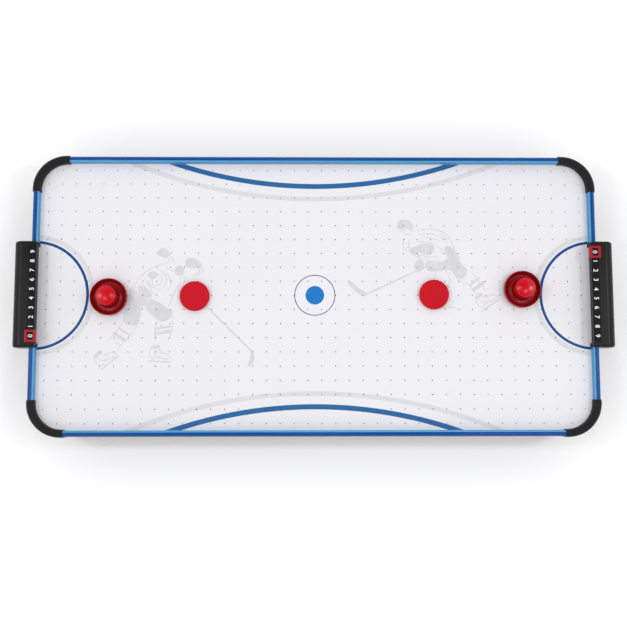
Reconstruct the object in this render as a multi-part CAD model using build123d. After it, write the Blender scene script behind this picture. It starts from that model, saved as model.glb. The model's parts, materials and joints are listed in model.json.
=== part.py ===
"""Tabletop air hockey table: perforated playfield over a blower plenum, tube rails, goals, strikers, pucks.

Frame: millimetres, +X along the table, +Y across it, +Z up, origin on the floor under the table's centre.
Pieces are drawn on the right-hand (+X) side. The left-hand ones are the same shapes turned half a turn about Z.
"""

import os
from math import cos, radians, sin

from build123d import *

# Table outline and levels
TABLE_LENGTH = 1026.0
TABLE_WIDTH = 509.0
HALF_LENGTH = TABLE_LENGTH / 2
HALF_WIDTH = TABLE_WIDTH / 2
FLOOR_TO_LEG = 5.0
FLOOR_TO_PANEL = 25.0
PANEL_THICK = 3.0
APRON_LOW = FLOOR_TO_PANEL + PANEL_THICK
FIELD_TOP = 88.0
FIELD_THICK = 4.0
FIELD_UNDER = FIELD_TOP - FIELD_THICK
GAP = 0.2

# Rails and corner elbows
RAIL_WIDTH = 11.0
TUBE_AXIS_Z = 97.0
TUBE_BORE_RADIUS = 3.4
SKIRT_THICK = 2.8
SKIRT_LOW = 74.0
CORNER_RADIUS = 60.0
ELBOW_REACH = 65.0
ELBOW_GROW = 1.5
SPIGOT_RADIUS = 3.2
SPIGOT_LENGTH = 14.0
INNER_X = HALF_LENGTH - RAIL_WIDTH
INNER_Y = HALF_WIDTH - RAIL_WIDTH
CORNER_X = HALF_LENGTH - CORNER_RADIUS
CORNER_Y = HALF_WIDTH - CORNER_RADIUS
RAIL_END_X = HALF_LENGTH - ELBOW_REACH
RAIL_END_Y = HALF_WIDTH - ELBOW_REACH

# Body: aprons, legs, ribs
BODY_INSET = SKIRT_THICK + GAP
APRON_THICK = 12.0
BODY_X = HALF_LENGTH - BODY_INSET
BODY_Y = HALF_WIDTH - BODY_INSET
LEG_OUTER = CORNER_RADIUS - BODY_INSET
LEG_INNER = LEG_OUTER - APRON_THICK
TONGUE_THICK = 5.0
TONGUE_LENGTH = 8.0
TONGUE_LOW = 36.0
PAD_MARGIN = 1.5
PAD_RECESS_DEPTH = 3.0
PAD_RECESS_RADIUS = 3.6
RIB_THICK = 10.0
RIB_PLACES = {"outer_left": -340.0, "inner_left": -170.0, "inner_right": 170.0, "outer_right": 340.0}
RIB_HOLE_RADIUS = 15.0
RIB_HOLE_PITCH = 80.0
RIB_HOLE_COUNT = 5

# Air holes
HOLE_PITCH_X = 25.0
HOLE_PITCH_Y = 25.75
HOLE_COLUMNS = 40
HOLE_ROWS = 19
HOLE_RADIUS = 1.0

# Goals
MOUTH_HALF = 88.0
MOUTH_HEIGHT = 10.0
HOOD_HALF = 96.0
HOOD_INNER_X = INNER_X - 2.0
HOOD_OUTER_X = HALF_LENGTH + 29.0
HOOD_TOP = 112.0
HOOD_LOW = 72.0
HOOD_WALL = 2.0
HOOD_ROUND = 16.0
HOOD_LIP_ROUND = 1.0
HOOD_END_ROUND = 4.0
TRAY_WALL = 2.5
TRAY_HALF = HOOD_HALF - 2.0
TRAY_OUTER_X = HOOD_OUTER_X - 2.0
TRAY_LOW = 26.0
TRAY_ROUND = 7.0
WINDOW_HALF = 45.0
WINDOW_LOW = 40.0
WINDOW_HIGH = 64.0
WINDOW_ROUND = 8.0

# Scorers
SCORER_X = HOOD_INNER_X + 6.0
SCORER_HALF = 87.0
SCORER_NECK = 10.0
SCORER_HEAD = 12.0
SCORER_NECK_HEIGHT = 1.2
SCORER_HEIGHT = 2.4
SCORE_PITCH = 16.85
SCORE_START = 4.5 * SCORE_PITCH
SLIDER_X = 19.5
SLIDER_Y = 21.5
SLIDER_TOP = HOOD_TOP + 4.0
SLIDER_WINDOW_X = 10.5
SLIDER_WINDOW_Y = 14.0
SLIDER_GAP = 0.15

# Strikers and pucks
FELT_RADIUS = 30.5
FELT_THICK = 1.2
STRIKER_RADIUS = 33.5
STRIKER_RIM = 13.0
STRIKER_RIM_THICK = 2.4
STRIKER_FLOOR = 4.2
KNOB_RADIUS = 17.4
KNOB_FOOT_RADIUS = 19.0
KNOB_TOP = 38.0
KNOB_WALL = 3.0
KNOB_ROUND = 2.5
STRIKER_PLACES = {"left": (-372.5, -4.0), "right": (377.0, 10.0)}
PUCK_RADIUS = 27.0
PUCK_THICK = 6.0
PUCK_DISH = 0.6
PUCK_PLACES = {"left": (-218.0, -2.0), "right": (217.0, 1.0)}

# Blower
INTAKE_RADIUS = 38.0
GRILLE_RADIUS = 47.0
GRILLE_THICK = 3.0
GASKET_TOP = APRON_LOW + 2.0
BLOWER_HALF = 71.0
VOLUTE_RADIUS = 60.0
VOLUTE_WALL = 2.5
VOLUTE_TOP = 58.0
VOLUTE_INLET = 32.0
OUTLET_REACH = 92.0
OUTLET_DEPTH = 34.0
MOTOR_RADIUS = 17.0
MOTOR_TOP = 81.0
MOTOR_BOSS_RADIUS = 7.0
SHAFT_RADIUS = 1.5
SHAFT_LOW = 44.0
SHAFT_TOP = 66.0
WHEEL_RADIUS = 46.0
WHEEL_BLADE_LENGTH = 13.0
WHEEL_LOW = 34.0
WHEEL_TOP = 54.0
WHEEL_BLADES = 24

# Power inlet and switch in the front apron
POWER_Z = 56.0
INLET_X = -18.0
INLET_RADIUS = 5.5
INLET_FLANGE_RADIUS = 7.5
INLET_SOCKET_RADIUS = 3.25
SWITCH_X = 20.0
SWITCH_WELL_X = 9.2
SWITCH_WELL_Z = 16.0
SWITCH_WALL = 1.8
SWITCH_DEPTH = 18.0
SWITCH_PIVOT_Y = -BODY_Y + 2.4
ROCKER_HALF_TRAVEL = 10.0

# Screws
SHANK_RADIUS = 1.6
HEAD_RADIUS = 3.0
HEAD_HEIGHT = 1.6
PILOT_RADIUS = SHANK_RADIUS + 0.05
PANEL_SCREW_LENGTH = 15.0
RAIL_SCREW_Z = 80.0
RAIL_SCREW_HEAD = 1.4
RAIL_SCREW_LENGTH = 10.0
GRILLE_SCREW_RING = 43.5
BLOWER_SCREW_PLACE = 65.0
TRAY_SCREW_Y = 70.0
TRAY_SCREW_Z = 50.0
TRAY_SCREW_LENGTH = 12.5

UP = Vector(0, 0, 1)
AXIS_AT_CORNER = Axis((CORNER_X, CORNER_Y, 0), (0, 0, 1))


def block(x_span, y_span, z_span):
    """Box between two limits along each axis."""
    size = [high - low for low, high in (x_span, y_span, z_span)]
    middle = [(high + low) / 2 for low, high in (x_span, y_span, z_span)]
    return Pos(*middle) * Box(*size)


def slab(outline, low, high):
    """Flat outline raised from one height to another."""
    return extrude(Pos(0, 0, low) * outline, amount=high - low)


def disc(x, y, radius, low, high):
    """Upright cylinder between two heights."""
    return slab(Pos(x, y) * Circle(radius), low, high)


def rect(u_span, v_span):
    """Rectangle between two limits along each sketch axis."""
    width = u_span[1] - u_span[0]
    height = v_span[1] - v_span[0]
    return Pos(u_span[0] + width / 2, v_span[0] + height / 2) * Rectangle(width, height)


def rod(start, direction, radius, length):
    """Cylinder from a point along a direction."""
    return extrude(Plane(origin=start, z_dir=direction) * Circle(radius), amount=length)


def screw(start, direction, length, head_height=HEAD_HEIGHT):
    """Screw whose head's underside is at start, with its shank running along direction."""
    head = rod(start, -Vector(*direction), HEAD_RADIUS, head_height)
    return head + rod(start, direction, SHANK_RADIUS, length)


def half_turn(part):
    """The same piece on the opposite side of the table."""
    return Rot(0, 0, 180) * part


def four_corners(name, right_back):
    """Names and copies of a corner piece drawn at the right back corner."""
    right_front = mirror(right_back, Plane.XZ)
    return {
        f"{name}_right_back": right_back,
        f"{name}_right_front": right_front,
        f"{name}_left_front": half_turn(right_back),
        f"{name}_left_back": half_turn(right_front),
    }


def both_ends(name, right):
    """Names and copies of a piece drawn at the right end."""
    return {f"{name}_right": right, f"{name}_left": half_turn(right)}


def section_plane(x, y, outward):
    """Upright plane whose sketch runs outward from the rail's inner edge and up from the floor."""
    return Plane(origin=(x, y, 0), x_dir=outward, z_dir=Vector(*outward).cross(UP))


def rail_section(grow=0.0):
    """Rail section: a round tube on a web that stands on the field, with a skirt down the outside."""
    tube = Pos(RAIL_WIDTH / 2, TUBE_AXIS_Z) * Circle(RAIL_WIDTH / 2 + grow)
    web = rect((-grow, RAIL_WIDTH + grow), (FIELD_TOP, TUBE_AXIS_Z))
    skirt = rect((RAIL_WIDTH - SKIRT_THICK, RAIL_WIDTH + grow), (SKIRT_LOW - grow, TUBE_AXIS_Z))
    return tube + web + skirt


def tube_circle(radius):
    """Circle on the tube's axis in the rail's section."""
    return Pos(RAIL_WIDTH / 2, TUBE_AXIS_Z) * Circle(radius)


def rail(x, y, outward, length):
    """Hollow rail that starts at a point and runs along outward x up."""
    return extrude(section_plane(x, y, outward) * (rail_section() - tube_circle(TUBE_BORE_RADIUS)), amount=length)


def rail_screw_places():
    """Start point and direction of each rail screw, under its head."""
    places = []
    for x in (-380.0, -130.0, 130.0, 380.0):
        for side in (-1, 1):
            places.append(((x, side * (HALF_WIDTH - RAIL_SCREW_HEAD), RAIL_SCREW_Z), (0, -side, 0)))
    for y in (-150.0, 150.0):
        for side in (-1, 1):
            places.append(((side * (HALF_LENGTH - RAIL_SCREW_HEAD), y, RAIL_SCREW_Z), (-side, 0, 0)))
    return places


def with_rail_holes(part):
    """Clear the rail screws' shanks and heads out of a rail or an apron."""
    for start, direction in rail_screw_places():
        part -= rod(start, direction, PILOT_RADIUS, RAIL_SCREW_LENGTH + 0.5)
        part -= rod(start, -Vector(*direction), HEAD_RADIUS + 0.05, RAIL_SCREW_HEAD + 1)
    return part


def rails():
    """Two long rails and the four short ones beside the goals."""
    short = RAIL_END_Y - MOUTH_HALF
    front = with_rail_holes(rail(RAIL_END_X, -INNER_Y, (0, -1, 0), 2 * RAIL_END_X))
    right_back = with_rail_holes(rail(INNER_X, RAIL_END_Y, (1, 0, 0), short))
    right_front = with_rail_holes(rail(INNER_X, -MOUTH_HALF, (1, 0, 0), short))
    return {
        "rail_front": front,
        "rail_back": half_turn(front),
        "rail_right_back": right_back,
        "rail_right_front": right_front,
        "rail_left_front": half_turn(right_back),
        "rail_left_back": half_turn(right_front),
    }


def elbow():
    """Corner elbow: the rail's section, a little fatter, round a quarter turn, with a spigot into each tube."""
    side = section_plane(INNER_X, CORNER_Y, (1, 0, 0))
    back = section_plane(CORNER_X, INNER_Y, (0, 1, 0))
    arm = ELBOW_REACH - CORNER_RADIUS
    bend = revolve(side * rail_section(ELBOW_GROW), AXIS_AT_CORNER, 90)
    side_arm = extrude(side * rail_section(ELBOW_GROW), amount=arm)
    back_arm = extrude(back * rail_section(ELBOW_GROW), amount=-arm)
    side_spigot = extrude(side * tube_circle(SPIGOT_RADIUS), amount=arm + SPIGOT_LENGTH)
    back_spigot = extrude(back * tube_circle(SPIGOT_RADIUS), amount=-(arm + SPIGOT_LENGTH))
    return bend + side_arm + back_arm + side_spigot + back_spigot


def playfield():
    """Field board with its grid of air holes. Holes that the elbows would cover aren't drilled."""
    outline = RectangleRounded(2 * BODY_X, 2 * BODY_Y, CORNER_RADIUS - BODY_INSET)
    clear = CORNER_RADIUS - RAIL_WIDTH - ELBOW_GROW - 1.0
    holes = []
    for place in GridLocations(HOLE_PITCH_X, HOLE_PITCH_Y, HOLE_COLUMNS, HOLE_ROWS):
        past = Vector(max(0, abs(place.position.X) - CORNER_X), max(0, abs(place.position.Y) - CORNER_Y))
        if past.length < clear:
            holes.append(Wire(Edge.make_circle(HOLE_RADIUS, Plane(place.position))))
    board = Face(outline.face().outer_wire(), holes)
    return extrude(Pos(0, 0, FIELD_UNDER) * board, amount=FIELD_THICK, dir=UP)


def quarter_ring(inner, outer, low, high):
    """Quarter of a ring about the right back corner's centre."""
    section = rect((inner, outer), (low, high))
    plane = Plane(origin=(CORNER_X, CORNER_Y, 0), x_dir=(1, 0, 0), z_dir=(0, -1, 0))
    return revolve(plane * section, AXIS_AT_CORNER, 90)


def tongues(grow=0.0):
    """Two tongues of the right back leg that run into the aprons beside it."""
    middle = LEG_OUTER - APRON_THICK / 2
    half = TONGUE_THICK / 2 + grow
    across = (middle - half, middle + half)
    heights = (TONGUE_LOW - grow, FIELD_UNDER)
    length = TONGUE_LENGTH + grow
    side = block((CORNER_X + across[0], CORNER_X + across[1]), (CORNER_Y - length, CORNER_Y), heights)
    back = block((CORNER_X - length, CORNER_X), (CORNER_Y + across[0], CORNER_Y + across[1]), heights)
    return side + back


def pad_centre():
    """Middle of the right back leg's foot."""
    reach = (LEG_INNER + LEG_OUTER) / 2
    return CORNER_X + reach * cos(radians(45)), CORNER_Y + reach * sin(radians(45))


def corner_leg():
    """Quarter-round corner post that carries the table down to its foot pad."""
    post = quarter_ring(LEG_INNER, LEG_OUTER, FLOOR_TO_LEG, FIELD_UNDER) + tongues()
    return post - disc(*pad_centre(), PILOT_RADIUS, FLOOR_TO_LEG, FLOOR_TO_LEG + 12)


def foot_pad():
    """Rubber pad under a leg, with a recess for its screw."""
    pad = quarter_ring(LEG_INNER + PAD_MARGIN, LEG_OUTER - PAD_MARGIN, 0, FLOOR_TO_LEG)
    pad -= disc(*pad_centre(), PAD_RECESS_RADIUS, 0, PAD_RECESS_DEPTH)
    return pad - disc(*pad_centre(), PILOT_RADIUS, 0, FLOOR_TO_LEG)


def panel_screw_places():
    """Plan position of each screw that holds the bottom panel to the aprons."""
    middle_y = BODY_Y - APRON_THICK / 2
    middle_x = BODY_X - APRON_THICK / 2
    long_sides = [(x, side * middle_y) for x in (-420.0, -210.0, 0.0, 210.0, 420.0) for side in (-1, 1)]
    ends = [(side * middle_x, y) for y in (-150.0, 150.0) for side in (-1, 1)]
    return long_sides + ends


def with_panel_holes(part):
    """Clear the bottom panel's screws out of a piece."""
    for x, y in panel_screw_places():
        part -= disc(x, y, PILOT_RADIUS, FLOOR_TO_PANEL, FLOOR_TO_PANEL + PANEL_SCREW_LENGTH + 0.5)
    return part


def with_leg_grooves(part):
    """Cut the grooves that the corner legs' tongues fill."""
    for groove in four_corners("groove", tongues(0.1)).values():
        part -= groove
    return part


def aprons():
    """The four upright boards of the body."""
    long_board = block((-CORNER_X, CORNER_X), (-BODY_Y, -BODY_Y + APRON_THICK), (APRON_LOW, FIELD_UNDER))
    end_board = block((BODY_X - APRON_THICK, BODY_X), (-CORNER_Y, CORNER_Y), (APRON_LOW, FIELD_UNDER))
    plain = {
        "apron_front": long_board,
        "apron_back": half_turn(long_board),
        "apron_right": end_board,
        "apron_left": half_turn(end_board),
    }
    boards = {name: with_rail_holes(with_panel_holes(with_leg_grooves(board))) for name, board in plain.items()}
    boards["apron_front"] -= rod((INLET_X, -BODY_Y, POWER_Z), (0, 1, 0), INLET_RADIUS + 0.1, APRON_THICK)
    boards["apron_front"] -= switch_body(0.1)
    for end in ("right", "left"):
        for start, direction in tray_screw_places():
            boards[f"apron_{end}"] -= rod(start, direction, PILOT_RADIUS, TRAY_SCREW_LENGTH + 0.5)
    return boards


def bottom_panel():
    """Panel that closes the plenum, with the blower's intake hole."""
    outline = Rectangle(2 * CORNER_X, 2 * BODY_Y - 4) + Rectangle(2 * BODY_X - 4, 2 * CORNER_Y)
    for x in (-CORNER_X, CORNER_X):
        for y in (-CORNER_Y, CORNER_Y):
            outline += Pos(x, y) * Circle(LEG_INNER - GAP)
    panel = with_panel_holes(slab(outline - Circle(INTAKE_RADIUS), FLOOR_TO_PANEL, APRON_LOW))
    for x, y in blower_screw_places() + grille_screw_places():
        panel -= disc(x, y, PILOT_RADIUS, FLOOR_TO_PANEL, APRON_LOW)
    return panel


def field_rib(x):
    """Cross rib under the field with holes that let the air through."""
    half = BODY_Y - APRON_THICK
    board = block((x - RIB_THICK / 2, x + RIB_THICK / 2), (-half, half), (APRON_LOW, FIELD_UNDER))
    for index in range(RIB_HOLE_COUNT):
        y = (index - (RIB_HOLE_COUNT - 1) / 2) * RIB_HOLE_PITCH
        board -= rod((x - RIB_THICK, y, (APRON_LOW + FIELD_UNDER) / 2), (1, 0, 0), RIB_HOLE_RADIUS, 2 * RIB_THICK)
    return board


def hood_section(inset=0.0):
    """Hood's side view: flat top, large round outside, small round over the goal's mouth."""
    inner = HOOD_INNER_X + inset
    outer = HOOD_OUTER_X - inset
    top = HOOD_TOP - inset
    outline = rect((inner, outer), (HOOD_LOW, top))
    corners = outline.vertices().group_by(Axis.Y)[-1].sort_by(Axis.X)
    outline = fillet(corners[-1:], HOOD_ROUND - inset)
    lip = outline.vertices().group_by(Axis.Y)[-1].sort_by(Axis.X)[:1]
    return fillet(lip, HOOD_LIP_ROUND) if inset == 0 else outline


def across_table(sketch, half):
    """Side-view outline run from -half to half across the table."""
    plane = Plane(origin=(0, half, 0), x_dir=(1, 0, 0), z_dir=(0, -1, 0))
    return extrude(plane * sketch, amount=2 * half)


def goal_hood():
    """Black hood over a goal's mouth: it clips over the rail ends and leaves a slot for the puck."""
    shell = across_table(hood_section(), HOOD_HALF)
    ends = shell.faces().filter_by(Axis.Y)
    rims = [edge for edge in ends.edges() if edge.center().Z > HOOD_LOW + 1]
    shell = fillet([edge for edge in rims if edge.center().X > HOOD_INNER_X + 1], HOOD_END_ROUND)
    shell -= across_table(hood_section(HOOD_WALL), HOOD_HALF - HOOD_WALL)
    shell -= block((HOOD_INNER_X - 1, BODY_X + GAP), (-HOOD_HALF, HOOD_HALF), (HOOD_LOW, FIELD_TOP))
    shell -= block((HOOD_INNER_X - 1, INNER_X + 5), (-MOUTH_HALF, MOUTH_HALF), (FIELD_TOP, FIELD_TOP + MOUTH_HEIGHT))
    for start in (HOOD_HALF, -MOUTH_HALF):
        shell -= extrude(
            section_plane(INNER_X, start, (1, 0, 0)) * rail_section(GAP), amount=HOOD_HALF - MOUTH_HALF
        )
    return shell


def tray_outline(inset=0.0):
    """Catch tray's plan with its outer corners rounded."""
    outline = rect((BODY_X + inset, TRAY_OUTER_X - inset), (-TRAY_HALF + inset, TRAY_HALF - inset))
    outer_corners = outline.vertices().group_by(Axis.X)[-1]
    return fillet(outer_corners, TRAY_ROUND - inset)


def goal_tray():
    """Open-topped tray that catches the puck, with a window in its outer wall to take it out."""
    tray = slab(tray_outline(), TRAY_LOW, HOOD_LOW)
    tray -= slab(tray_outline(TRAY_WALL), TRAY_LOW + TRAY_WALL, HOOD_LOW)
    window = RectangleRounded(2 * WINDOW_HALF, WINDOW_HIGH - WINDOW_LOW, WINDOW_ROUND)
    plane = Plane(origin=(TRAY_OUTER_X + 1, 0, (WINDOW_LOW + WINDOW_HIGH) / 2), x_dir=(0, 1, 0), z_dir=(1, 0, 0))
    tray -= extrude(plane * window, amount=-(TRAY_WALL + 2))
    for start, direction in tray_screw_places()[:2]:
        tray -= rod(start, direction, PILOT_RADIUS, TRAY_WALL)
    return tray


def tray_screw_places():
    """Start point and direction of each tray screw: the right tray's two, then the left tray's two."""
    reach = BODY_X + TRAY_WALL
    right = [((reach, y, TRAY_SCREW_Z), (-1, 0, 0)) for y in (-TRAY_SCREW_Y, TRAY_SCREW_Y)]
    left = [((-reach, y, TRAY_SCREW_Z), (1, 0, 0)) for y in (-TRAY_SCREW_Y, TRAY_SCREW_Y)]
    return right + left


def scorer_bar():
    """T-shaped bar on the hood that the score slider runs along."""
    neck_top = HOOD_TOP + SCORER_NECK_HEIGHT
    neck = rect((SCORER_X - SCORER_NECK / 2, SCORER_X + SCORER_NECK / 2), (HOOD_TOP, neck_top))
    head = rect((SCORER_X - SCORER_HEAD / 2, SCORER_X + SCORER_HEAD / 2), (neck_top, HOOD_TOP + SCORER_HEIGHT))
    return across_table(neck + head, SCORER_HALF)


def scorer_slider():
    """Square frame round the bar, shown on the first number, with lips that hook under the bar's head."""
    middle = (SCORER_X, SCORE_START)
    frame = Pos(*middle) * RectangleRounded(SLIDER_X, SLIDER_Y, 1.5)
    slider = slab(frame, HOOD_TOP + 0.1, SLIDER_TOP)
    slider -= slab(Pos(*middle) * Rectangle(SLIDER_WINDOW_X, SLIDER_WINDOW_Y), HOOD_TOP, SLIDER_TOP)
    lip_top = HOOD_TOP + SCORER_NECK_HEIGHT - 0.1
    head_half = SCORER_HEAD / 2 + SLIDER_GAP
    neck_half = SCORER_NECK / 2 + SLIDER_GAP
    along = (SCORE_START - SLIDER_Y, SCORE_START + SLIDER_Y)
    head_top = HOOD_TOP + SCORER_HEIGHT + 0.1
    slider -= block((SCORER_X - head_half, SCORER_X + head_half), along, (lip_top, head_top))
    return slider - block((SCORER_X - neck_half, SCORER_X + neck_half), along, (HOOD_TOP, lip_top))


def blower_screw_places():
    """Plan position of each screw that holds the blower's base down."""
    reach = BLOWER_SCREW_PLACE
    return [(x, y) for x in (-reach, reach) for y in (-reach, reach)]


def grille_screw_places():
    """Plan position of each intake grille screw."""
    return [(GRILLE_SCREW_RING * cos(radians(a)), GRILLE_SCREW_RING * sin(radians(a))) for a in (45, 135, 225, 315)]


def blower_base(hole):
    """Square plan of the blower's base, with its middle hole and screw holes."""
    outline = RectangleRounded(2 * BLOWER_HALF, 2 * BLOWER_HALF, 8) - Circle(hole)
    for x, y in blower_screw_places():
        outline -= Pos(x, y) * Circle(PILOT_RADIUS)
    return outline


def volute_outline(inset=0.0):
    """Round fan case with a duct that leaves along +X."""
    radius = VOLUTE_RADIUS - inset
    duct = rect((0, OUTLET_REACH), (VOLUTE_RADIUS - OUTLET_DEPTH + inset, radius))
    return Circle(radius) + duct


def blower_housing():
    """Fan case on its square base: open below to the intake and sideways to the plenum."""
    base_top = GASKET_TOP + VOLUTE_WALL
    case = slab(blower_base(VOLUTE_INLET), GASKET_TOP, base_top)
    shell = slab(volute_outline(), GASKET_TOP, VOLUTE_TOP)
    room = slab(volute_outline(VOLUTE_WALL), base_top, VOLUTE_TOP - VOLUTE_WALL)
    mouth_y = (VOLUTE_RADIUS - OUTLET_DEPTH + VOLUTE_WALL, VOLUTE_RADIUS - VOLUTE_WALL)
    mouth = rect((OUTLET_REACH - VOLUTE_WALL, OUTLET_REACH), mouth_y)
    case = case + shell - room - slab(mouth, base_top, VOLUTE_TOP - VOLUTE_WALL)
    case -= disc(0, 0, VOLUTE_INLET, GASKET_TOP, base_top)
    return case - disc(0, 0, MOTOR_BOSS_RADIUS + 0.1, VOLUTE_TOP - VOLUTE_WALL, VOLUTE_TOP)


def blower_motor():
    """Can motor standing on the fan case, with a boss through its roof and a bore for the shaft."""
    motor = disc(0, 0, MOTOR_RADIUS, VOLUTE_TOP, MOTOR_TOP)
    motor = fillet(motor.edges().group_by(Axis.Z)[-1], 2)
    motor += disc(0, 0, MOTOR_BOSS_RADIUS, VOLUTE_TOP - VOLUTE_WALL + 0.5, VOLUTE_TOP)
    return motor - disc(0, 0, SHAFT_RADIUS + 0.05, VOLUTE_TOP - VOLUTE_WALL, SHAFT_TOP + 0.5)


def impeller():
    """Fan wheel: back plate and hub above, a rim below, and slanted blades between."""
    plate_low = WHEEL_TOP - 2
    inner = WHEEL_RADIUS - WHEEL_BLADE_LENGTH
    wheel = disc(0, 0, WHEEL_RADIUS, plate_low, WHEEL_TOP)
    wheel += disc(0, 0, 6, SHAFT_LOW, plate_low)
    wheel += slab(Circle(WHEEL_RADIUS) - Circle(inner), WHEEL_LOW, WHEEL_LOW + 1.5)
    blade = Pos((inner + WHEEL_RADIUS) / 2 - 0.4, 0) * Rot(0, 0, 25) * Rectangle(WHEEL_BLADE_LENGTH - 2.2, 1.2)
    for index in range(WHEEL_BLADES):
        wheel += slab(Rot(0, 0, 360 * index / WHEEL_BLADES) * blade, WHEEL_LOW, WHEEL_TOP)
    return wheel - disc(0, 0, SHAFT_RADIUS, SHAFT_LOW, WHEEL_TOP)


def intake_grille():
    """Finger guard under the intake: rings on four spokes."""
    rings = Circle(GRILLE_RADIUS) - Circle(GRILLE_RADIUS - 7)
    for radius in (34.0, 26.0, 18.0):
        rings += Circle(radius) - Circle(radius - 2.5)
    rings += Circle(8)
    for angle in (0, 90, 180, 270):
        rings += Rot(0, 0, angle) * rect((0, GRILLE_RADIUS - 3), (-1.5, 1.5))
    for x, y in grille_screw_places():
        rings -= Pos(x, y) * Circle(PILOT_RADIUS)
    return slab(rings, FLOOR_TO_PANEL - GRILLE_THICK, FLOOR_TO_PANEL)


def blower():
    """Everything that makes the air: guard, gasket, case, motor, shaft and wheel."""
    return {
        "intake_grille": intake_grille(),
        "blower_gasket": slab(blower_base(INTAKE_RADIUS), APRON_LOW, GASKET_TOP),
        "blower_housing": blower_housing(),
        "blower_motor": blower_motor(),
        "motor_shaft": disc(0, 0, SHAFT_RADIUS, SHAFT_LOW, SHAFT_TOP),
        "impeller": impeller(),
    }


def power_inlet():
    """Round low-voltage socket through the front apron, with its centre pin."""
    face = -BODY_Y - 1.5
    back = -BODY_Y + APRON_THICK + 6
    body = rod((INLET_X, -BODY_Y, POWER_Z), (0, 1, 0), INLET_RADIUS, back + BODY_Y)
    body += rod((INLET_X, face, POWER_Z), (0, 1, 0), INLET_FLANGE_RADIUS, 1.5)
    body -= rod((INLET_X, face, POWER_Z), (0, 1, 0), INLET_SOCKET_RADIUS, 11)
    return body + rod((INLET_X, face + 1.5, POWER_Z), (0, 1, 0), 1.0, 10)


def inlet_nut():
    """Hexagonal nut that holds the inlet from inside the body."""
    plane = Plane(origin=(INLET_X, -BODY_Y + APRON_THICK, POWER_Z), z_dir=(0, 1, 0))
    return extrude(plane * (RegularPolygon(8, 6) - Circle(INLET_RADIUS + 0.05)), amount=3)


def switch_body(grow=0.0):
    """Solid envelope of the switch where it passes through the apron."""
    half_x = SWITCH_WELL_X / 2 + SWITCH_WALL + grow
    half_z = SWITCH_WELL_Z / 2 + SWITCH_WALL + grow
    return block(
        (SWITCH_X - half_x, SWITCH_X + half_x),
        (-BODY_Y, -BODY_Y + SWITCH_DEPTH + grow),
        (POWER_Z - half_z, POWER_Z + half_z),
    )


def switch_case():
    """Switch case with its flange outside, its well and the holes for the rocker's trunnions."""
    flange = Pos(SWITCH_X, POWER_Z) * RectangleRounded(SWITCH_WELL_X + 7.6, SWITCH_WELL_Z + 7.6, 1.5)
    plane = Plane(origin=(0, -BODY_Y, 0), x_dir=(1, 0, 0), z_dir=(0, -1, 0))
    case = switch_body() + extrude(plane * flange, amount=1.5)
    half_x = SWITCH_WELL_X / 2
    half_z = SWITCH_WELL_Z / 2
    case -= block(
        (SWITCH_X - half_x, SWITCH_X + half_x),
        (-BODY_Y - 2, -BODY_Y + SWITCH_DEPTH - 6),
        (POWER_Z - half_z, POWER_Z + half_z),
    )
    return case - rod((SWITCH_X - half_x - 1.2, SWITCH_PIVOT_Y, POWER_Z), (1, 0, 0), 1.06, SWITCH_WELL_X + 2.4)


def switch_rocker():
    """Rocker with a shallow V face, resting with its lower half pressed in."""
    half_face = Polyline((-2, 0), (-2, 3), (0.5, 5.2), (5.2, 6.6), (4.2, 0))
    outline = make_face(half_face + Line((4.2, 0), (-2, 0)))
    outline += mirror(outline, Plane.XZ)
    width = SWITCH_WELL_X - 0.6
    plane = Plane(origin=(-width / 2, 0, 0), x_dir=(0, -1, 0), z_dir=(-1, 0, 0))
    key = extrude(plane * outline, amount=-width)
    key += rod((-width / 2 - 1.1, 0, 0), (1, 0, 0), 1.0, width + 2.2)
    return Pos(SWITCH_X, SWITCH_PIVOT_Y, POWER_Z) * Rot(ROCKER_HALF_TRAVEL, 0, 0) * key


def striker(x, y):
    """Hand striker: a thin rim round a bowl that curves down to a hollow knob in the middle."""
    rim_inner = STRIKER_RADIUS - STRIKER_RIM_THICK
    rim_low = STRIKER_RIM - STRIKER_RIM_THICK / 2
    floor_radius = (rim_inner + KNOB_FOOT_RADIUS) / 2 + 1
    outside = Polyline((0, FELT_THICK), (FELT_RADIUS, FELT_THICK), (STRIKER_RADIUS, 4), (STRIKER_RADIUS, rim_low))
    rim = ThreePointArc(
        (STRIKER_RADIUS, rim_low), (STRIKER_RADIUS - STRIKER_RIM_THICK / 2, STRIKER_RIM), (rim_inner, rim_low)
    )
    bowl = Spline(
        (rim_inner, rim_low), (floor_radius, STRIKER_FLOOR), (KNOB_FOOT_RADIUS, STRIKER_FLOOR + 1), (KNOB_RADIUS, 9)
    )
    side = Line((KNOB_RADIUS, 9), (KNOB_RADIUS, KNOB_TOP - KNOB_ROUND))
    crown = RadiusArc((KNOB_RADIUS, KNOB_TOP - KNOB_ROUND), (KNOB_RADIUS - KNOB_ROUND, KNOB_TOP), -KNOB_ROUND)
    top = Polyline((KNOB_RADIUS - KNOB_ROUND, KNOB_TOP), (0, KNOB_TOP), (0, FELT_THICK))
    solid = revolve(Plane.XZ * make_face(outside + rim + bowl + side + crown + top), Axis.Z, 360)
    solid -= disc(0, 0, KNOB_RADIUS - KNOB_WALL, FELT_THICK, KNOB_TOP - KNOB_WALL)
    return Pos(x, y, FIELD_TOP) * solid


def puck(x, y):
    """Flat puck with bevelled edges and a shallow dish in each face."""
    body = disc(0, 0, PUCK_RADIUS, 0, PUCK_THICK)
    body = chamfer(body.edges(), 0.8)
    body -= disc(0, 0, PUCK_RADIUS - 4, PUCK_THICK - PUCK_DISH, PUCK_THICK)
    body -= disc(0, 0, PUCK_RADIUS - 4, 0, PUCK_DISH)
    return Pos(x, y, FIELD_TOP) * body


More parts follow.
